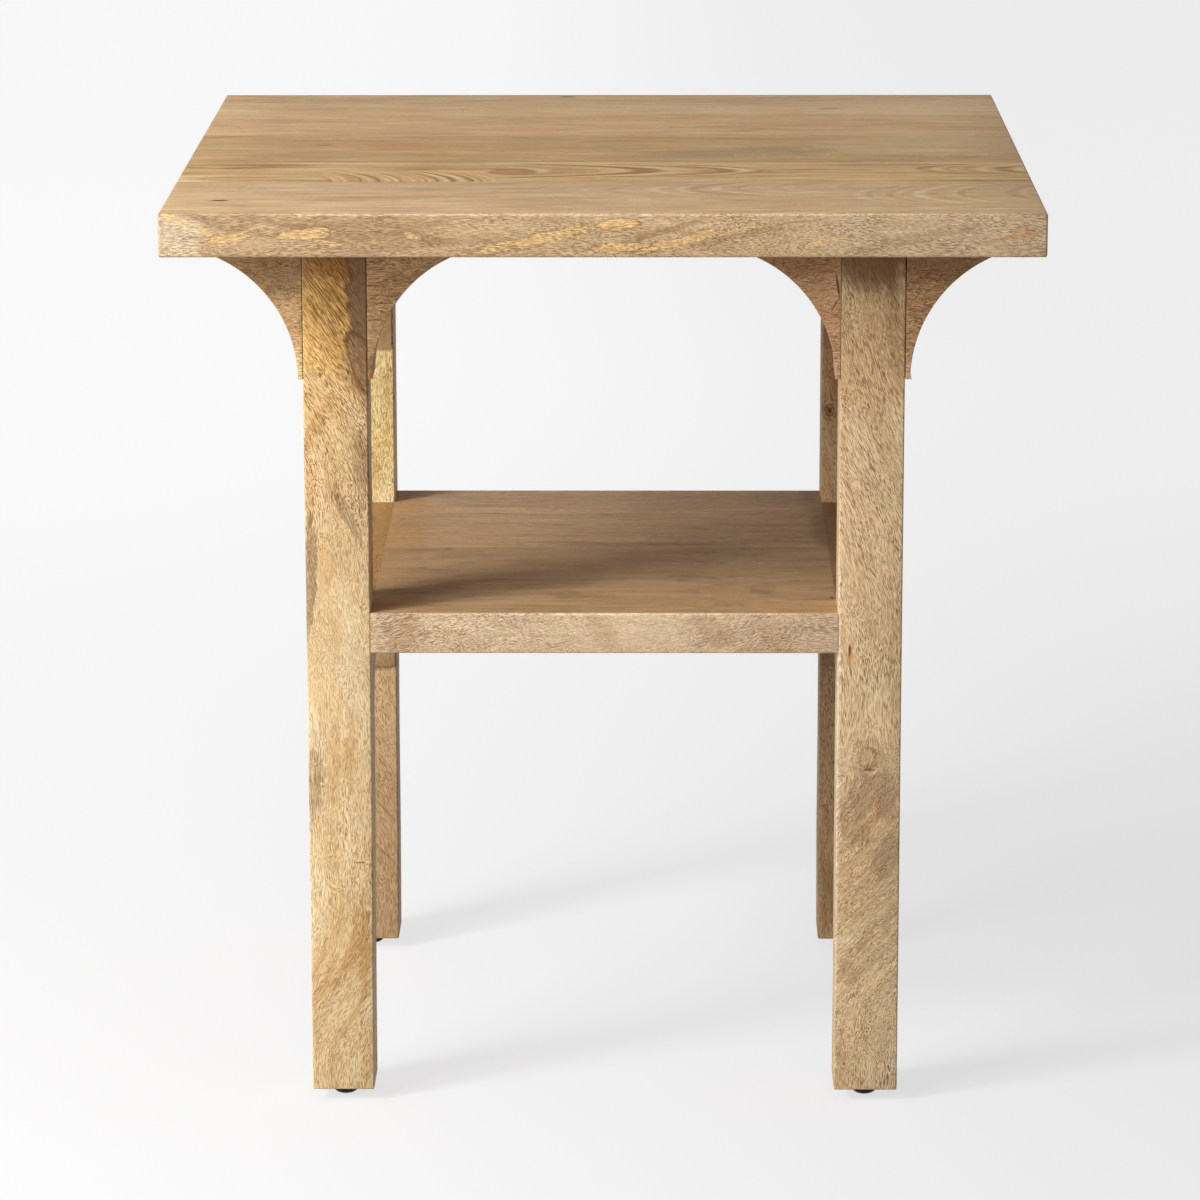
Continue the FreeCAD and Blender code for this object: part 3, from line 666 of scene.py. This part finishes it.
leg_looks = {
    "leg_front_left": dict(
        dark=tone(212, 170, 114), middle=tone(234, 202, 152), light=tone(246, 220, 176),
        bends=((400, 680, 130, 10), (250, 400, 22, 4), (20, 130, -40, 0)), wave=(8.0, 120.0),
        tint=(tone(218, 172, 108), 0.35), contrast=0.85,
        pores=(0.32, 6.4, 1.0), pore_tone=tone(126, 80, 38),
        ripple=(1.6, 13.0, 20, 470),
        **on_front(
            LEG_FRONT,
            calm=[((-175, 285), (40, 30, 135), 0.45), ((-175, 60), (40, 30, 110), 0.35)],
            strokes=[
                ((-180, 558), (22, 30, 56), 0, 0.95), ((-160, 500), (14, 30, 36), 28, 0.6),
                ((-158, 430), (10, 20, 34), 0, 0.5), ((-160, 104), (6, 12, 44), -2, 0.45),
                ((-190, 222), (8, 12, 40), -4, 0.5), ((-193, 362), (6, 12, 40), -3, 0.4),
            ],
            spots=[
                ((-178, 545), (24, 30, 66), -8, tone(236, 184, 98), 0.85, 0.5, 0),
                ((-182, 486), (20, 30, 36), 0, tone(226, 184, 122), 0.6, 0.6, 0),
                ((-182, 516), (18, 30, 24), 0, tone(242, 196, 124), 0.6, 0.6, 0),
                ((-175, 350), (40, 30, 80), 0, tone(218, 184, 136), 0.3, 0.5, 0),
                # Painted shade: the leg darker at its top, in the shadow under the tabletop
                ((-175, 584), (40, 30, 30), 0, tone(164, 113, 54), 0.8, 0.4, 0),
                ((-160, 495), (16, 30, 40), 28, tone(214, 164, 96), 0.6, 0.6, 0),
                ((-149, 550), (17, 16, 50), 4, tone(146, 116, 84), 1.0, 0.4, 0.9),
                ((-152, 496), (9, 16, 30), 24, tone(160, 130, 96), 0.9, 0.3, 0.9),
                ((-191, 455), (5, 12, 34), -28, tone(206, 158, 100), 0.6, 0.7, 0),
                ((-158, 440), (8, 12, 22), 0, tone(170, 146, 112), 0.5, 0.8, 0),
                ((-168.5, 403), (3.6, 12, 21), 24, tone(174, 146, 110), 0.6, 0.6, 0.3),
                ((-193, 362), (5, 12, 42), -3, tone(160, 134, 100), 0.7, 0.8, 0.2),
                ((-182, 372), (7, 12, 22), -3, tone(214, 170, 112), 0.5, 0.8, 0),
                ((-192, 222), (7, 12, 34), -4, tone(168, 140, 106), 0.45, 0.9, 0),
                ((-178, 240), (5, 12, 46), -4, tone(208, 168, 116), 0.45, 0.9, 0),
                ((-160, 104), (5, 12, 42), -2, tone(208, 162, 98), 0.65, 0.9, 0),
                ((-188, 60), (6, 12, 34), -24, tone(214, 180, 134), 0.6, 0.9, 0),
                ((-166, 300), (12, 10, 60), 0, tone(248, 224, 182), 0.5, 0.8, 0),
            ],
            lines=[
                ((-162, 492), (0.8, 3, 24), 24, UMBER, 0.8),
                ((-164.5, 430), (0.6, 3, 30), 22, UMBER, 0.6),
                ((-171, 404), (0.6, 3, 24), 26, UMBER, 0.6),
                ((-165.5, 398), (0.6, 3, 24), 22, UMBER, 0.5),
                ((-179, 416), (0.5, 3, 22), 26, UMBER, 0.4),
                ((-162, 166), (5, 2, 0.7), 0, BARK, 0.6),
            ],
        ),
    ),
    "leg_front_right": dict(
        dark=tone(209, 173, 129), middle=tone(229, 197, 152), light=tone(240, 212, 172),
        bends=((280, 640, 95, 8), (40, 235, -120, 0)), wave=(6.0, 100.0), contrast=0.72,
        tint=(tone(202, 167, 123), 0.35), pores=(0.3, 6.2, 0.86), pore_tone=tone(120, 82, 48),
        ripple=(3.6, 11.0, 10, 260), curl=(60, 235, 46, 3.0, 0.10),
        **on_front(
            LEG_FRONT,
            knots=[((174, 238), (11, 14, 13), 6.0, tone(152, 112, 76), tone(206, 168, 128))],
            spots=[
                ((186, 540), (6, 20, 60), 6, tone(160, 124, 86), 0.55, 0.8, 0),
                ((174, 510), (44, 20, 50), 0, tone(216, 174, 124), 0.5, 0.5, 0),
                # Painted shade: the leg darker at its top, in the shadow under the tabletop
                ((174, 588), (44, 20, 46), 0, tone(126, 92, 57), 0.9, 0.3, 0),
                ((176, 180), (44, 20, 76), 0, tone(196, 158, 114), 0.35, 0.5, 0),
                ((176, 212), (20, 10, 20), 20, tone(176, 142, 106), 0.7, 0.8, 0),
                ((166, 190), (11, 10, 20), 35, tone(178, 142, 104), 0.6, 0.9, 0),
                ((187, 172), (10, 10, 22), -20, tone(176, 142, 106), 0.6, 0.8, 0),
                ((178, 200), (3, 10, 14), -12, tone(222, 178, 126), 0.7, 0.9, 0.3),
                ((162, 90), (9, 10, 9), -40, tone(178, 140, 102), 0.5, 0.9, 0),
                ((183, 50), (11, 10, 16), -20, tone(228, 196, 152), 0.6, 0.9, 0),
                ((184, 412), (1.6, 10, 46), 12, tone(240, 212, 170), 0.5, 0.5, 0),
                # Painted highlight: a pale strip down the leg's inner front edge, where the light
                # from the left catches it
                ((154.3, 250), (1.6, 10, 210), 0, tone(240, 216, 180), 0.7, 0.2, 0),
            ],
            lines=[
                ((161.5, 308), (1.5, 3, 9), -2, AMBER, 0.9),
                ((161.3, 311), (0.9, 3, 5), -2, BARK, 0.9),
                ((162.2, 297), (0.8, 3, 5), 8, BARK, 0.6),
                ((174.5, 230), (4.5, 3, 1.4), 0, tone(120, 84, 54), 0.8),
            ],
        ),
    ),
    "leg_back_left": dict(
        dark=tone(216, 186, 128), middle=tone(240, 214, 156), light=tone(250, 232, 180),
        bends=((60, 200, 40, 6),), wave=(5.0, 90.0), ripple=(1.6, 12.0, 20, 560),
        pores=(0.36, 5.0, 0.85), pore_tone=tone(146, 120, 66), tint=(tone(230, 196, 106), 0.4),
        spots=[
            ((-175, 174, 110), (70, 70, 220), 0, tone(214, 174, 132), 0.9, 0.15, 0),
            ((-175, 174, 60), (70, 70, 120), 0, tone(198, 156, 116), 0.7, 0.15, 0),
            ((-171, 154, 236), (5, 30, 40), -6, tone(230, 190, 104), 0.75, 0.8, 0),
        ],
        lines=[
            ((-163, 153, 106), (0.9, 3, 17), 42, UMBER, 0.6),
            ((-164, 153, 74), (0.9, 3, 15), 44, UMBER, 0.6),
        ],
    ),
    "leg_back_right": dict(
        dark=tone(178, 140, 98), middle=tone(210, 171, 126), light=tone(226, 190, 144),
        bends=((40, 580, 60, 0),), wave=(6.0, 100.0),
        tint=(tone(176, 138, 96), 0.4), ripple=(1.6, 12.0, 20, 560),
        knots=[((159, 153, 404), (6, 8, 8), 5.0, tone(84, 54, 34), tone(104, 72, 50))],
    ),
}
# How far each leg's inner face strays from straight in mm, at its foot and at three shares of
# the height from there to the shelf
strays = {
    "leg_front_left": (0.9, 0.7, 0.2, 0.0),
    "leg_front_right": (-0.2, 0.1, 0.0, 0.0),
    "leg_back_left": (0.5, 0.2, 0.3, 0.0),
    "leg_back_right": (0.2, -0.2, 0.1, 0.0),
}
STRAY_SHARES = (0.25, 0.5, 0.75)
LEG_EASING = 1.2 * MM
shelf_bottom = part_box("shelf_plank_1")[0].z
for number, (node, look) in enumerate(leg_looks.items(), start=1):
    low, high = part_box(node)
    leg = block(node.replace("leg_", "leg_post_"), low, high)
    side = 1 if low.x > 0 else -1
    inner_x = low.x if side > 0 else high.x
    heights = [low.z + (shelf_bottom - low.z) * share for share in STRAY_SHARES]
    slice_across(leg, 2, heights + [shelf_bottom, (shelf_bottom + high.z) / 2])
    for height, stray in zip([low.z] + heights, strays[node]):
        nudge(
            leg,
            lambda vert: near(vert.co.z, height) and near(vert.co.x, inner_x),
            (side * stray * MM, 0.0, 0.0),
        )

    def worn(edge):
        """The leg's long edges and the rim of its foot."""
        return runs(edge, 2) or all(near(vert.co.z, low.z) for vert in edge.verts)

    ease(leg, worn, LEG_EASING)
    material = wood(f"leg wood {number}", "z", 11.3 + number * 2.7, roughness=0.5, **look)
    dress(leg, material, node)

# Rails

SCREW_STEP = 45.0 * MM
SEAT_RADIUS = 7.5 * MM
SEAT_DEPTH = 18.0 * MM
SEAT_SIDES = 32
RAIL_EASING = 0.9 * MM
RAIL_SLICES = 4
RAIL_TONES = dict(dark=tone(172, 134, 92), middle=tone(202, 160, 112), light=tone(216, 178, 130))
# The shelf rails' top faces take after the shelf beside them: golden on the left, and on the right
# painted shade, as the shelf's right end lies in shadow there
RAIL_TOP_TONES_AND_SHADE = {"left": tone(192, 147, 90), "right": tone(154, 119, 80)}
rail_number = 0
for kind in ("top_rail", "shelf_rail"):
    for side, sign in SIDES.items():
        rail_number += 1
        node = f"{kind}_{side}"
        low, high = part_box(node)
        rail = block(f"{kind}_board_{side}", low, high)
        slice_across(rail, 1, even_cuts(low.y, high.y, RAIL_SLICES))

        def exposed(edge):
            """The lower long edges of a top rail, the outer ones of a shelf rail."""
            if kind == "top_rail":
                return runs(edge, 1) and near(middle(edge).z, low.z)
            return runs(edge, 1) and near(middle(edge).x, low.x if sign < 0 else high.x)

        ease(rail, exposed, RAIL_EASING)
        # The shelf rail's top face gets its own tone; on the right this is painted shade
        spots = [((sign * 174, 0, SHELF + 1), (60, 300, 4), 0, RAIL_TOP_TONES_AND_SHADE[side], 0.9, 0.1, 0)]
        if kind == "top_rail":
            spots = []
            for step in (-1, 0, 1):
                # A screw's round seat, sunk into the rail from below
                seat = ((low.x + high.x) / 2, step * SCREW_STEP, low.z)
                carve(rail, cylinder(SEAT_SIDES, SEAT_RADIUS, SEAT_DEPTH * 2, seat))
        material = wood(
            f"rail wood {rail_number}", "y", 31.1 + rail_number * 3.1, **RAIL_TONES, spots=spots,
            rings=(sign * 120.0, low.z / MM - 40, 0.0, 0.08, 8.0, 0.2), tint=(ROSE_TAN, 0.3),
        )
        dress(rail, material, node)

# Shelf

shelf_looks = [
    dict(
        dark=tone(154, 124, 87), middle=tone(182, 149, 109), light=tone(200, 167, 127),
        rings=(-130.0, 250.0, 0.02, 0.10, 9.0, 0.3), bends=((-180, -60, 0, -14), (40, 130, 0, -26)),
        tint=(tone(196, 158, 118), 0.3), pores=(0.33, 4.4, 0.72),
        open_face=("y", SHELF_FRONT, 0.35),
        calm=[((20, SHELF_FRONT, 323), (70, 8, 24), 0.4)],
        strokes=[
            ((-135, SHELF_FRONT, 323), (22, 8, 18), 0, 0.6),
            ((60, SHELF_FRONT, 323), (10, 8, 20), 42, 0.4),
        ],
        ripple=(2.6, 13.0, -175, 150),
        spots=[
            ((0, SHELF_FRONT, 323), (900, 2.2, 900), 0, tone(230, 201, 165), 0.85, 0.0, 0),
            ((120, SHELF_FRONT, 323), (50, 6, 24), 0, tone(200, 168, 134), 0.5, 0.5, 0),
            ((-133, SHELF_FRONT, 323), (16, 6, 15), 0, tone(188, 150, 112), 0.5, 0.9, 0),
            ((0, SHELF_FRONT, 323), (9, 6, 20), 38, tone(196, 160, 120), 0.45, 0.7, 0),
            ((72, SHELF_FRONT, 323), (10, 6, 22), 42, tone(190, 154, 116), 0.5, 0.8, 0),
            ((112, SHELF_FRONT, 319), (9, 6, 18), 45, tone(196, 160, 120), 0.4, 0.8, 0),
            # Painted highlight: a pale line along the shelf's rounded front edge, where it catches
            # the light
            (
                (0, SHELF_FRONT + 0.4, SHELF - 0.4), (160, 1.3, 1.3), 0, tone(248, 226, 192),
                0.65, 0.0, 0,
            ),
            ((-156, -30, SHELF), (28, 80, 6), 0, tone(188, 148, 98), 0.4, 0.4, 0),
        ],
        lines=[((151, -150, SHELF), (1.4, 2.6, 1), 0, BARK, 1.0)],
    ),
    dict(
        dark=tone(170, 139, 103), middle=tone(199, 165, 125), light=tone(215, 183, 141),
        rings=(60.0, 250.0, 0.02, 0.07, 8.0, 0.3), tint=(tone(214, 167, 116), 0.28),
        pores=(0.5, 5.0, 0.3),
        spots=[
            ((-154, 30, SHELF), (34, 100, 8), 0, tone(200, 152, 94), 0.55, 0.4, 0),
            ((30, 14, SHELF), (80, 10, 8), 0, tone(163, 130, 97), 0.6, 0.9, 0),
            # Painted shadow: darker at the shelf's right end, towards the back
            ((160, 62, SHELF), (22, 90, 8), 0, tone(140, 110, 82), 0.65, 0.3, 0),
        ],
    ),
    dict(
        dark=tone(182, 150, 112), middle=tone(210, 174, 134), light=tone(227, 193, 151),
        rings=(160.0, 250.0, 0.0, 0.05, 8.0, 0.3), tint=(tone(219, 168, 116), 0.25),
        pores=(0.5, 5.0, 0.3),
        spots=[
            ((-154, 130, SHELF), (36, 80, 8), 0, tone(210, 160, 98), 0.55, 0.4, 0),
            ((10, 150, SHELF), (90, 44, 8), 0, tone(180, 146, 112), 0.35, 0.6, 0),
            # Painted shadow: darker at the shelf's right back corner
            ((150, 175, SHELF), (60, 60, 8), 0, tone(140, 110, 86), 0.2, 0.3, 0),
            ((160, 165, SHELF), (26, 90, 8), 0, tone(136, 106, 80), 0.45, 0.3, 0),
        ],
    ),
]
SHELF_EASING = 1.0 * MM
SHELF_SLICES = 8
for number, look in enumerate(shelf_looks, start=1):
    node = f"shelf_plank_{number}"
    low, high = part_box(node)
    board = block(f"shelf_board_{number}", low, high)
    slice_across(board, 0, even_cuts(low.x, high.x, SHELF_SLICES))
    free_y = {1: low.y, 3: high.y}.get(number)
    if free_y is not None:
        ease(board, lambda edge: runs(edge, 0) and near(middle(edge).y, free_y), SHELF_EASING)
    material = wood(
        f"shelf wood {number}", "x", 47.9 + number * 2.1, streaks=0.5, hairs=(3.4, 40.0),
        fibre=0.06, roughness=0.45, **look
    )
    dress(board, material, node)

# Brackets

BRACKET_REACH = 80.0 * MM
BRACKET_HEIGHT = 94.0 * MM
BRACKET_RADIUS = 88.0 * MM
BRACKET_TIP = 3.0 * MM
BRACKET_SIDES = 128
BRACKET_EASING = 0.7 * MM


def bracket_blank(name, thickness):
    """A bracket that reaches towards +X from x = 0, with its top at z = 0."""
    half = thickness / 2
    piece = block(name, (0.0, -half, -BRACKET_HEIGHT), (BRACKET_REACH, half, 0.0))
    centre = (BRACKET_TIP + BRACKET_RADIUS, 0.0, -BRACKET_HEIGHT)
    lying = (math.pi / 2, 0.0, 0.0)
    carve(piece, cylinder(BRACKET_SIDES, BRACKET_RADIUS, thickness * 2, centre, lying))
    square_up(piece)

    def rim(edge):
        """The sawn curve's two edges and the tip's, on both flat sides."""
        spot = middle(edge)
        on_side = near(abs(spot.y), half) and not runs(edge, 1)
        return on_side and not near(spot.x, 0.0) and not near(spot.z, 0.0)

    ease(piece, rim, BRACKET_EASING, 2)
    return piece


def bracket_copy(blank, name, place, turn):
    """A copy with its own mesh, turned about Z and put in its place."""
    hold(blank)
    bpy.ops.object.duplicate(linked=False)
    piece = bpy.context.active_object
    piece.name = piece.data.name = name
    piece.rotation_euler = (0.0, 0.0, math.radians(turn))
    piece.location = place
    settle(piece)
    return piece


leg_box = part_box("leg_front_left")
side_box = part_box("rail_bracket_front_left")
wide = bracket_blank("bracket_wide", leg_box[1].y - leg_box[0].y)
narrow = bracket_blank("bracket_narrow", side_box[1].x - side_box[0].x)
# Dark, middle and light of the brackets seen from the front, and of the others
bracket_tones = dict(
    top_bracket_front_left_outer=(tone(188, 148, 100), tone(212, 173, 122), tone(226, 190, 142)),
    top_bracket_front_left_inner=(tone(178, 140, 98), tone(210, 172, 124), tone(226, 192, 146)),
    top_bracket_front_right_inner=(tone(184, 139, 98), tone(208, 162, 118), tone(222, 180, 136)),
    top_bracket_front_right_outer=(tone(190, 146, 102), tone(222, 176, 128), tone(236, 194, 146)),
)
plain_tones = (tone(160, 126, 90), tone(190, 154, 114), tone(208, 174, 132))
bracket_marks = on_front(
    LEG_FRONT,
    top_bracket_front_right_inner=[
        ((151.5, 553), (1.0, 3, 11), 8, BARK, 0.8),
        ((149.5, 541), (0.9, 3, 5), -25, BARK, 0.6),
        ((146, 563), (6, 3, 0.9), 0, UMBER, 0.8),
    ],
)
# Marks on the brackets seen from the front; the large dark spots at their tops are painted shade
# under the tabletop
bracket_spots_and_shade = on_front(
    LEG_FRONT,
    top_bracket_front_left_inner=[
        ((-152, 494), (3.5, 30, 4.5), 0, tone(206, 142, 84), 0.9, 0.3, 0),
    ],
    top_bracket_front_left_outer=[
        # Painted shade: darker at the bracket's top, under the tabletop
        ((-225, 580), (60, 40, 34), 0, tone(158, 122, 80), 0.75, 0.3, 0),
        ((-198, 500), (5, 20, 16), 0, tone(240, 212, 152), 0.85, 0.5, 0),
        ((-210, 552), (12, 20, 9), 0, ASH_BROWN, 0.4, 0.8, 0),
    ],
    top_bracket_front_right_inner=[
        # Painted shade: darker at the bracket's top, under the tabletop
        ((125, 584), (50, 40, 32), 0, tone(164, 122, 84), 0.6, 0.3, 0),
    ],
    top_bracket_front_right_outer=[
        # Painted shade: darker at the bracket's top, under the tabletop
        ((225, 582), (60, 40, 36), 0, tone(158, 118, 78), 0.8, 0.3, 0),
        ((199, 496), (5, 20, 9), 0, tone(240, 206, 156), 0.8, 0.5, 0),
    ],
)
bracket_strokes = on_front(
    LEG_FRONT,
    top_bracket_front_left_inner=[((-120, 560), (60, 30, 60), 0, 0.6)],
    top_bracket_front_right_outer=[((205, 545), (40, 30, 60), 0, 0.5)],
)
# Open glue joints, and the one bracket whose tip stands off its leg
glue_gaps = {
    "top_bracket_front_right_outer": 0.4 * MM,
    "top_bracket_front_left_outer": 0.2 * MM,
    "top_bracket_front_left_inner": 0.2 * MM,
}
SPLAYED_BRACKET = "top_bracket_front_right_outer"
SPLAY = 0.9 * MM
SPLAY_HEIGHT = 0.4 * MM
SPLAY_WIDTH = 1.2 * MM


def dress_bracket(piece, node, along, beside, top):
    """Wood whose pith lies beside the bracket and below its top."""
    number = sorted(bracket_nodes).index(node) + 1
    material = wood(
        f"bracket wood {number}", along, 71.3 + number * 1.7,
        *bracket_tones.get(node, plain_tones),
        wave=(5.0, 60.0), ripple=(2.4, 12.0, -400, 400),
        rings=(beside / MM - 30, top / MM - 80, 0.0, 0.15, 7.0, 0.25),
        tint=(ROSE_TAN, 0.3), pores=(0.34, 5.0, 0.9),
        strokes=bracket_strokes.get(node, ()),
        spots=bracket_spots_and_shade.get(node, ()),
        lines=bracket_marks.get(node, ()),
    )
    dress(piece, material, node)


bracket_nodes = [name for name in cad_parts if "_bracket_" in name]
for end in ENDS:
    for side, sign in SIDES.items():
        for place in ("outer", "inner"):
            node = f"top_bracket_{end}_{side}_{place}"
            low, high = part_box(node)
            outwards = sign if place == "outer" else -sign
            root_x, end_x = (low.x, high.x) if outwards > 0 else (high.x, low.x)
            gap = glue_gaps.get(node, 0.0)
            at = (root_x + outwards * gap, (low.y + high.y) / 2, high.z)
            turn = 0 if outwards > 0 else 180
            piece = bracket_copy(wide, f"bracket_{end}_{side}_{place}", at, turn)
            if gap:
                nudge(piece, lambda vert: near(vert.co.x, end_x, 2 * gap), (-outwards * gap, 0, 0))
            if node == SPLAYED_BRACKET:
                tip_x, tip_z = at[0] + BRACKET_TIP, low.z + SPLAY_HEIGHT
                nudge(
                    piece,
                    lambda vert: vert.co.z < tip_z and near(vert.co.x, tip_x, SPLAY_WIDTH),
                    (SPLAY, 0, 0),
                )
            dress_bracket(piece, node, "x", low.y, high.z)
for kind in ("rail_bracket", "shelf_bracket"):
    for end, way in ENDS.items():
        for side in SIDES:
            node = f"{kind}_{end}_{side}"
            low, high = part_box(node)
            root_y = low.y if way < 0 else high.y
            at = ((low.x + high.x) / 2, root_y, high.z)
            piece = bracket_copy(narrow, f"{kind}_sawn_{end}_{side}", at, 90 if way < 0 else -90)
            dress_bracket(piece, node, "y", low.x, high.z)
for blank in (wide, narrow):
    bpy.data.objects.remove(blank)

# Glides

GLIDE_SIDES = 48
GLIDE_ROUNDING = 5.4 * MM
GLIDE_STEPS = 6


def glide_plastic():
    r = Recipe("glide plastic")
    grains = r.noise(r.vector("SCALE", r.place, scale=2.2), 3.0, 0.6)
    colour = r.ramp(grains, ((0.3, tone(10, 5, 5)), (0.7, tone(20, 10, 9))))
    return r.finish(colour, r.fade(grains, 0.3, 0.7, 0.40, 0.52), grains, 0.00008, 0.5, 0.2)


glide_material = glide_plastic()
for end in ENDS:
    for side in SIDES:
        node = f"glide_{end}_{side}"
        low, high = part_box(node)
        glide = cylinder(GLIDE_SIDES, (high.x - low.x) / 2, high.z - low.z, (low + high) / 2)
        glide.name = glide.data.name = f"glide_dome_{end}_{side}"

        def foot_rim(edge):
            return all(near(vert.co.z, low.z) for vert in edge.verts)

        ease(glide, foot_rim, GLIDE_ROUNDING, GLIDE_STEPS)
        dress(glide, glide_material, node)

# Hidden hardware, kept from the CAD


def dowel_wood():
    r = Recipe("dowel beech")
    strand = r.noise(r.vector("MULTIPLY", r.place, (1.2, 0.3, 0.8)), 3.0, 0.6)
    colour = r.ramp(strand, ((0.3, tone(196, 168, 128)), (0.7, tone(224, 200, 162))))
    return r.finish(colour, 0.6, strand, 0.0001, 0.5)


def zinc_steel():
    r = Recipe("zinc plate")
    cloud = r.noise(r.vector("SCALE", r.place, scale=0.5), 3.0, 0.6)
    colour = r.ramp(cloud, ((0.3, tone(196, 192, 178)), (0.7, tone(222, 220, 210))))
    r.shader.inputs["Metallic"].default_value = 1.0
    return r.finish(colour, r.fade(cloud, 0.3, 0.7, 0.28, 0.42), cloud, 0.00004, 0.4, 0.5)


hardware = {
    dowel_wood(): ("top_rail_dowels", "shelf_rail_dowels", "shelf_dowels", "bracket_dowels"),
    zinc_steel(): ("tabletop_screws", "tabletop_washers", "glide_nails"),
}
for material, nodes in hardware.items():
    for node in nodes:
        paint(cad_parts[node], material)

# Studio

FLOOR_GLOW = 0.72
FLOOR_NEAR = 1.01
FLOOR_FAR = 1.20
FLOOR_SIZE = 60.0
SKY_LIGHT = 0.272


def studio_floor():
    """A pale floor, paler to the eye and in reflections than in the light it throws back."""
    r = Recipe("studio floor")
    x, y, _ = r.split(r.place)
    side = r.fade(x, -700.0, 700.0)
    side = r.ramp(side, ((0.0, tone(255, 255, 255)), (1.0, tone(242, 242, 243))))
    depth = r.fade(y, -300.0, 2600.0)
    path = r.add("ShaderNodeLightPath")
    direct = r.math("MAXIMUM", path.outputs["Is Camera Ray"], path.outputs["Is Glossy Ray"])
    direct = r.math("MAXIMUM", direct, path.outputs["Is Transmission Ray"])
    seen = r.mix(direct, tone(170, 170, 170), tone(238, 238, 238))
    r.feed(r.shader.inputs["Base Color"], seen)
    r.shader.inputs["Roughness"].default_value = 0.9
    r.shader.inputs["Specular IOR Level"].default_value = 0.1
    glow = r.add("ShaderNodeEmission")
    r.feed(glow.inputs["Color"], side)
    strength = r.math("MULTIPLY_ADD", depth, FLOOR_FAR - FLOOR_NEAR, FLOOR_NEAR)
    r.feed(glow.inputs["Strength"], strength)
    blend = r.add("ShaderNodeMixShader")
    r.feed(blend.inputs[0], r.math("MULTIPLY", direct, FLOOR_GLOW))
    r.tree.links.new(r.shader.outputs[0], blend.inputs[1])
    r.tree.links.new(glow.outputs[0], blend.inputs[2])
    r.tree.links.new(blend.outputs[0], r.output.inputs["Surface"])
    return r.material


deselect()
bpy.ops.mesh.primitive_plane_add(size=FLOOR_SIZE, location=(0.0, 0.0, 0.0))
floor = bpy.context.active_object
floor.name = floor.data.name = "studio_floor"
floor.data.materials.append(studio_floor())

scene = bpy.context.scene
world = bpy.data.worlds.new("studio")
scene.world = world
world.use_nodes = True
sky = world.node_tree
background = sky.nodes["Background"]
background.inputs["Color"].default_value = (1.0, 1.0, 1.0, 1.0)
background.inputs["Strength"].default_value = SKY_LIGHT
seen_sky = sky.nodes.new("ShaderNodeBackground")
seen_sky.inputs["Color"].default_value = tone(240, 240, 240)
seen_sky.inputs["Strength"].default_value = 1.0
path = sky.nodes.new("ShaderNodeLightPath")
choice = sky.nodes.new("ShaderNodeMixShader")
sky.links.new(path.outputs["Is Camera Ray"], choice.inputs[0])
sky.links.new(background.outputs[0], choice.inputs[1])
sky.links.new(seen_sky.outputs[0], choice.inputs[2])
sky.links.new(choice.outputs[0], sky.nodes["World Output"].inputs["Surface"])


def soft_box(name, place, aim, size, energy):
    """A square light that the eye doesn't see."""
    light = bpy.data.lights.new(name, "AREA")
    light.shape = "SQUARE"
    light.size = size
    light.energy = energy
    box = bpy.data.objects.new(name, light)
    scene.collection.objects.link(box)
    box.location = place
    box.rotation_euler = (Vector(place) - Vector(aim)).to_track_quat("Z", "Y").to_euler()
    box.visible_camera = False


# A small box high on the left throws the sharper shadows, a large lower one lights the front
soft_box("high box", (-1.60, -1.07, 1.56), (0.0, -0.05, 0.45), size=0.45, energy=25.0)
soft_box("front box", (-2.0, -1.9, 1.25), (0.0, 0.0, 0.40), size=1.30, energy=61.5)

# The camera: metres, then degrees down from level, a roll in radians, a turn in degrees, mm
CAMERA_PLACE = (0.02792, -3.55759, 1.12853)
CAMERA_DIP = 13.1176
CAMERA_ROLL = 0.0016
CAMERA_TURN = 0.5
CAMERA_LENS = 157.973
camera_data = bpy.data.cameras.new("camera")
camera = bpy.data.objects.new("camera", camera_data)
scene.collection.objects.link(camera)
camera_data.sensor_width = 36.0
camera_data.lens = CAMERA_LENS
camera_data.clip_end = 100.0
camera.location = CAMERA_PLACE
camera.rotation_euler = (
    math.radians(90.0 - CAMERA_DIP), CAMERA_ROLL, math.radians(CAMERA_TURN)
)
scene.camera = camera
scene.view_settings.view_transform = "Standard"
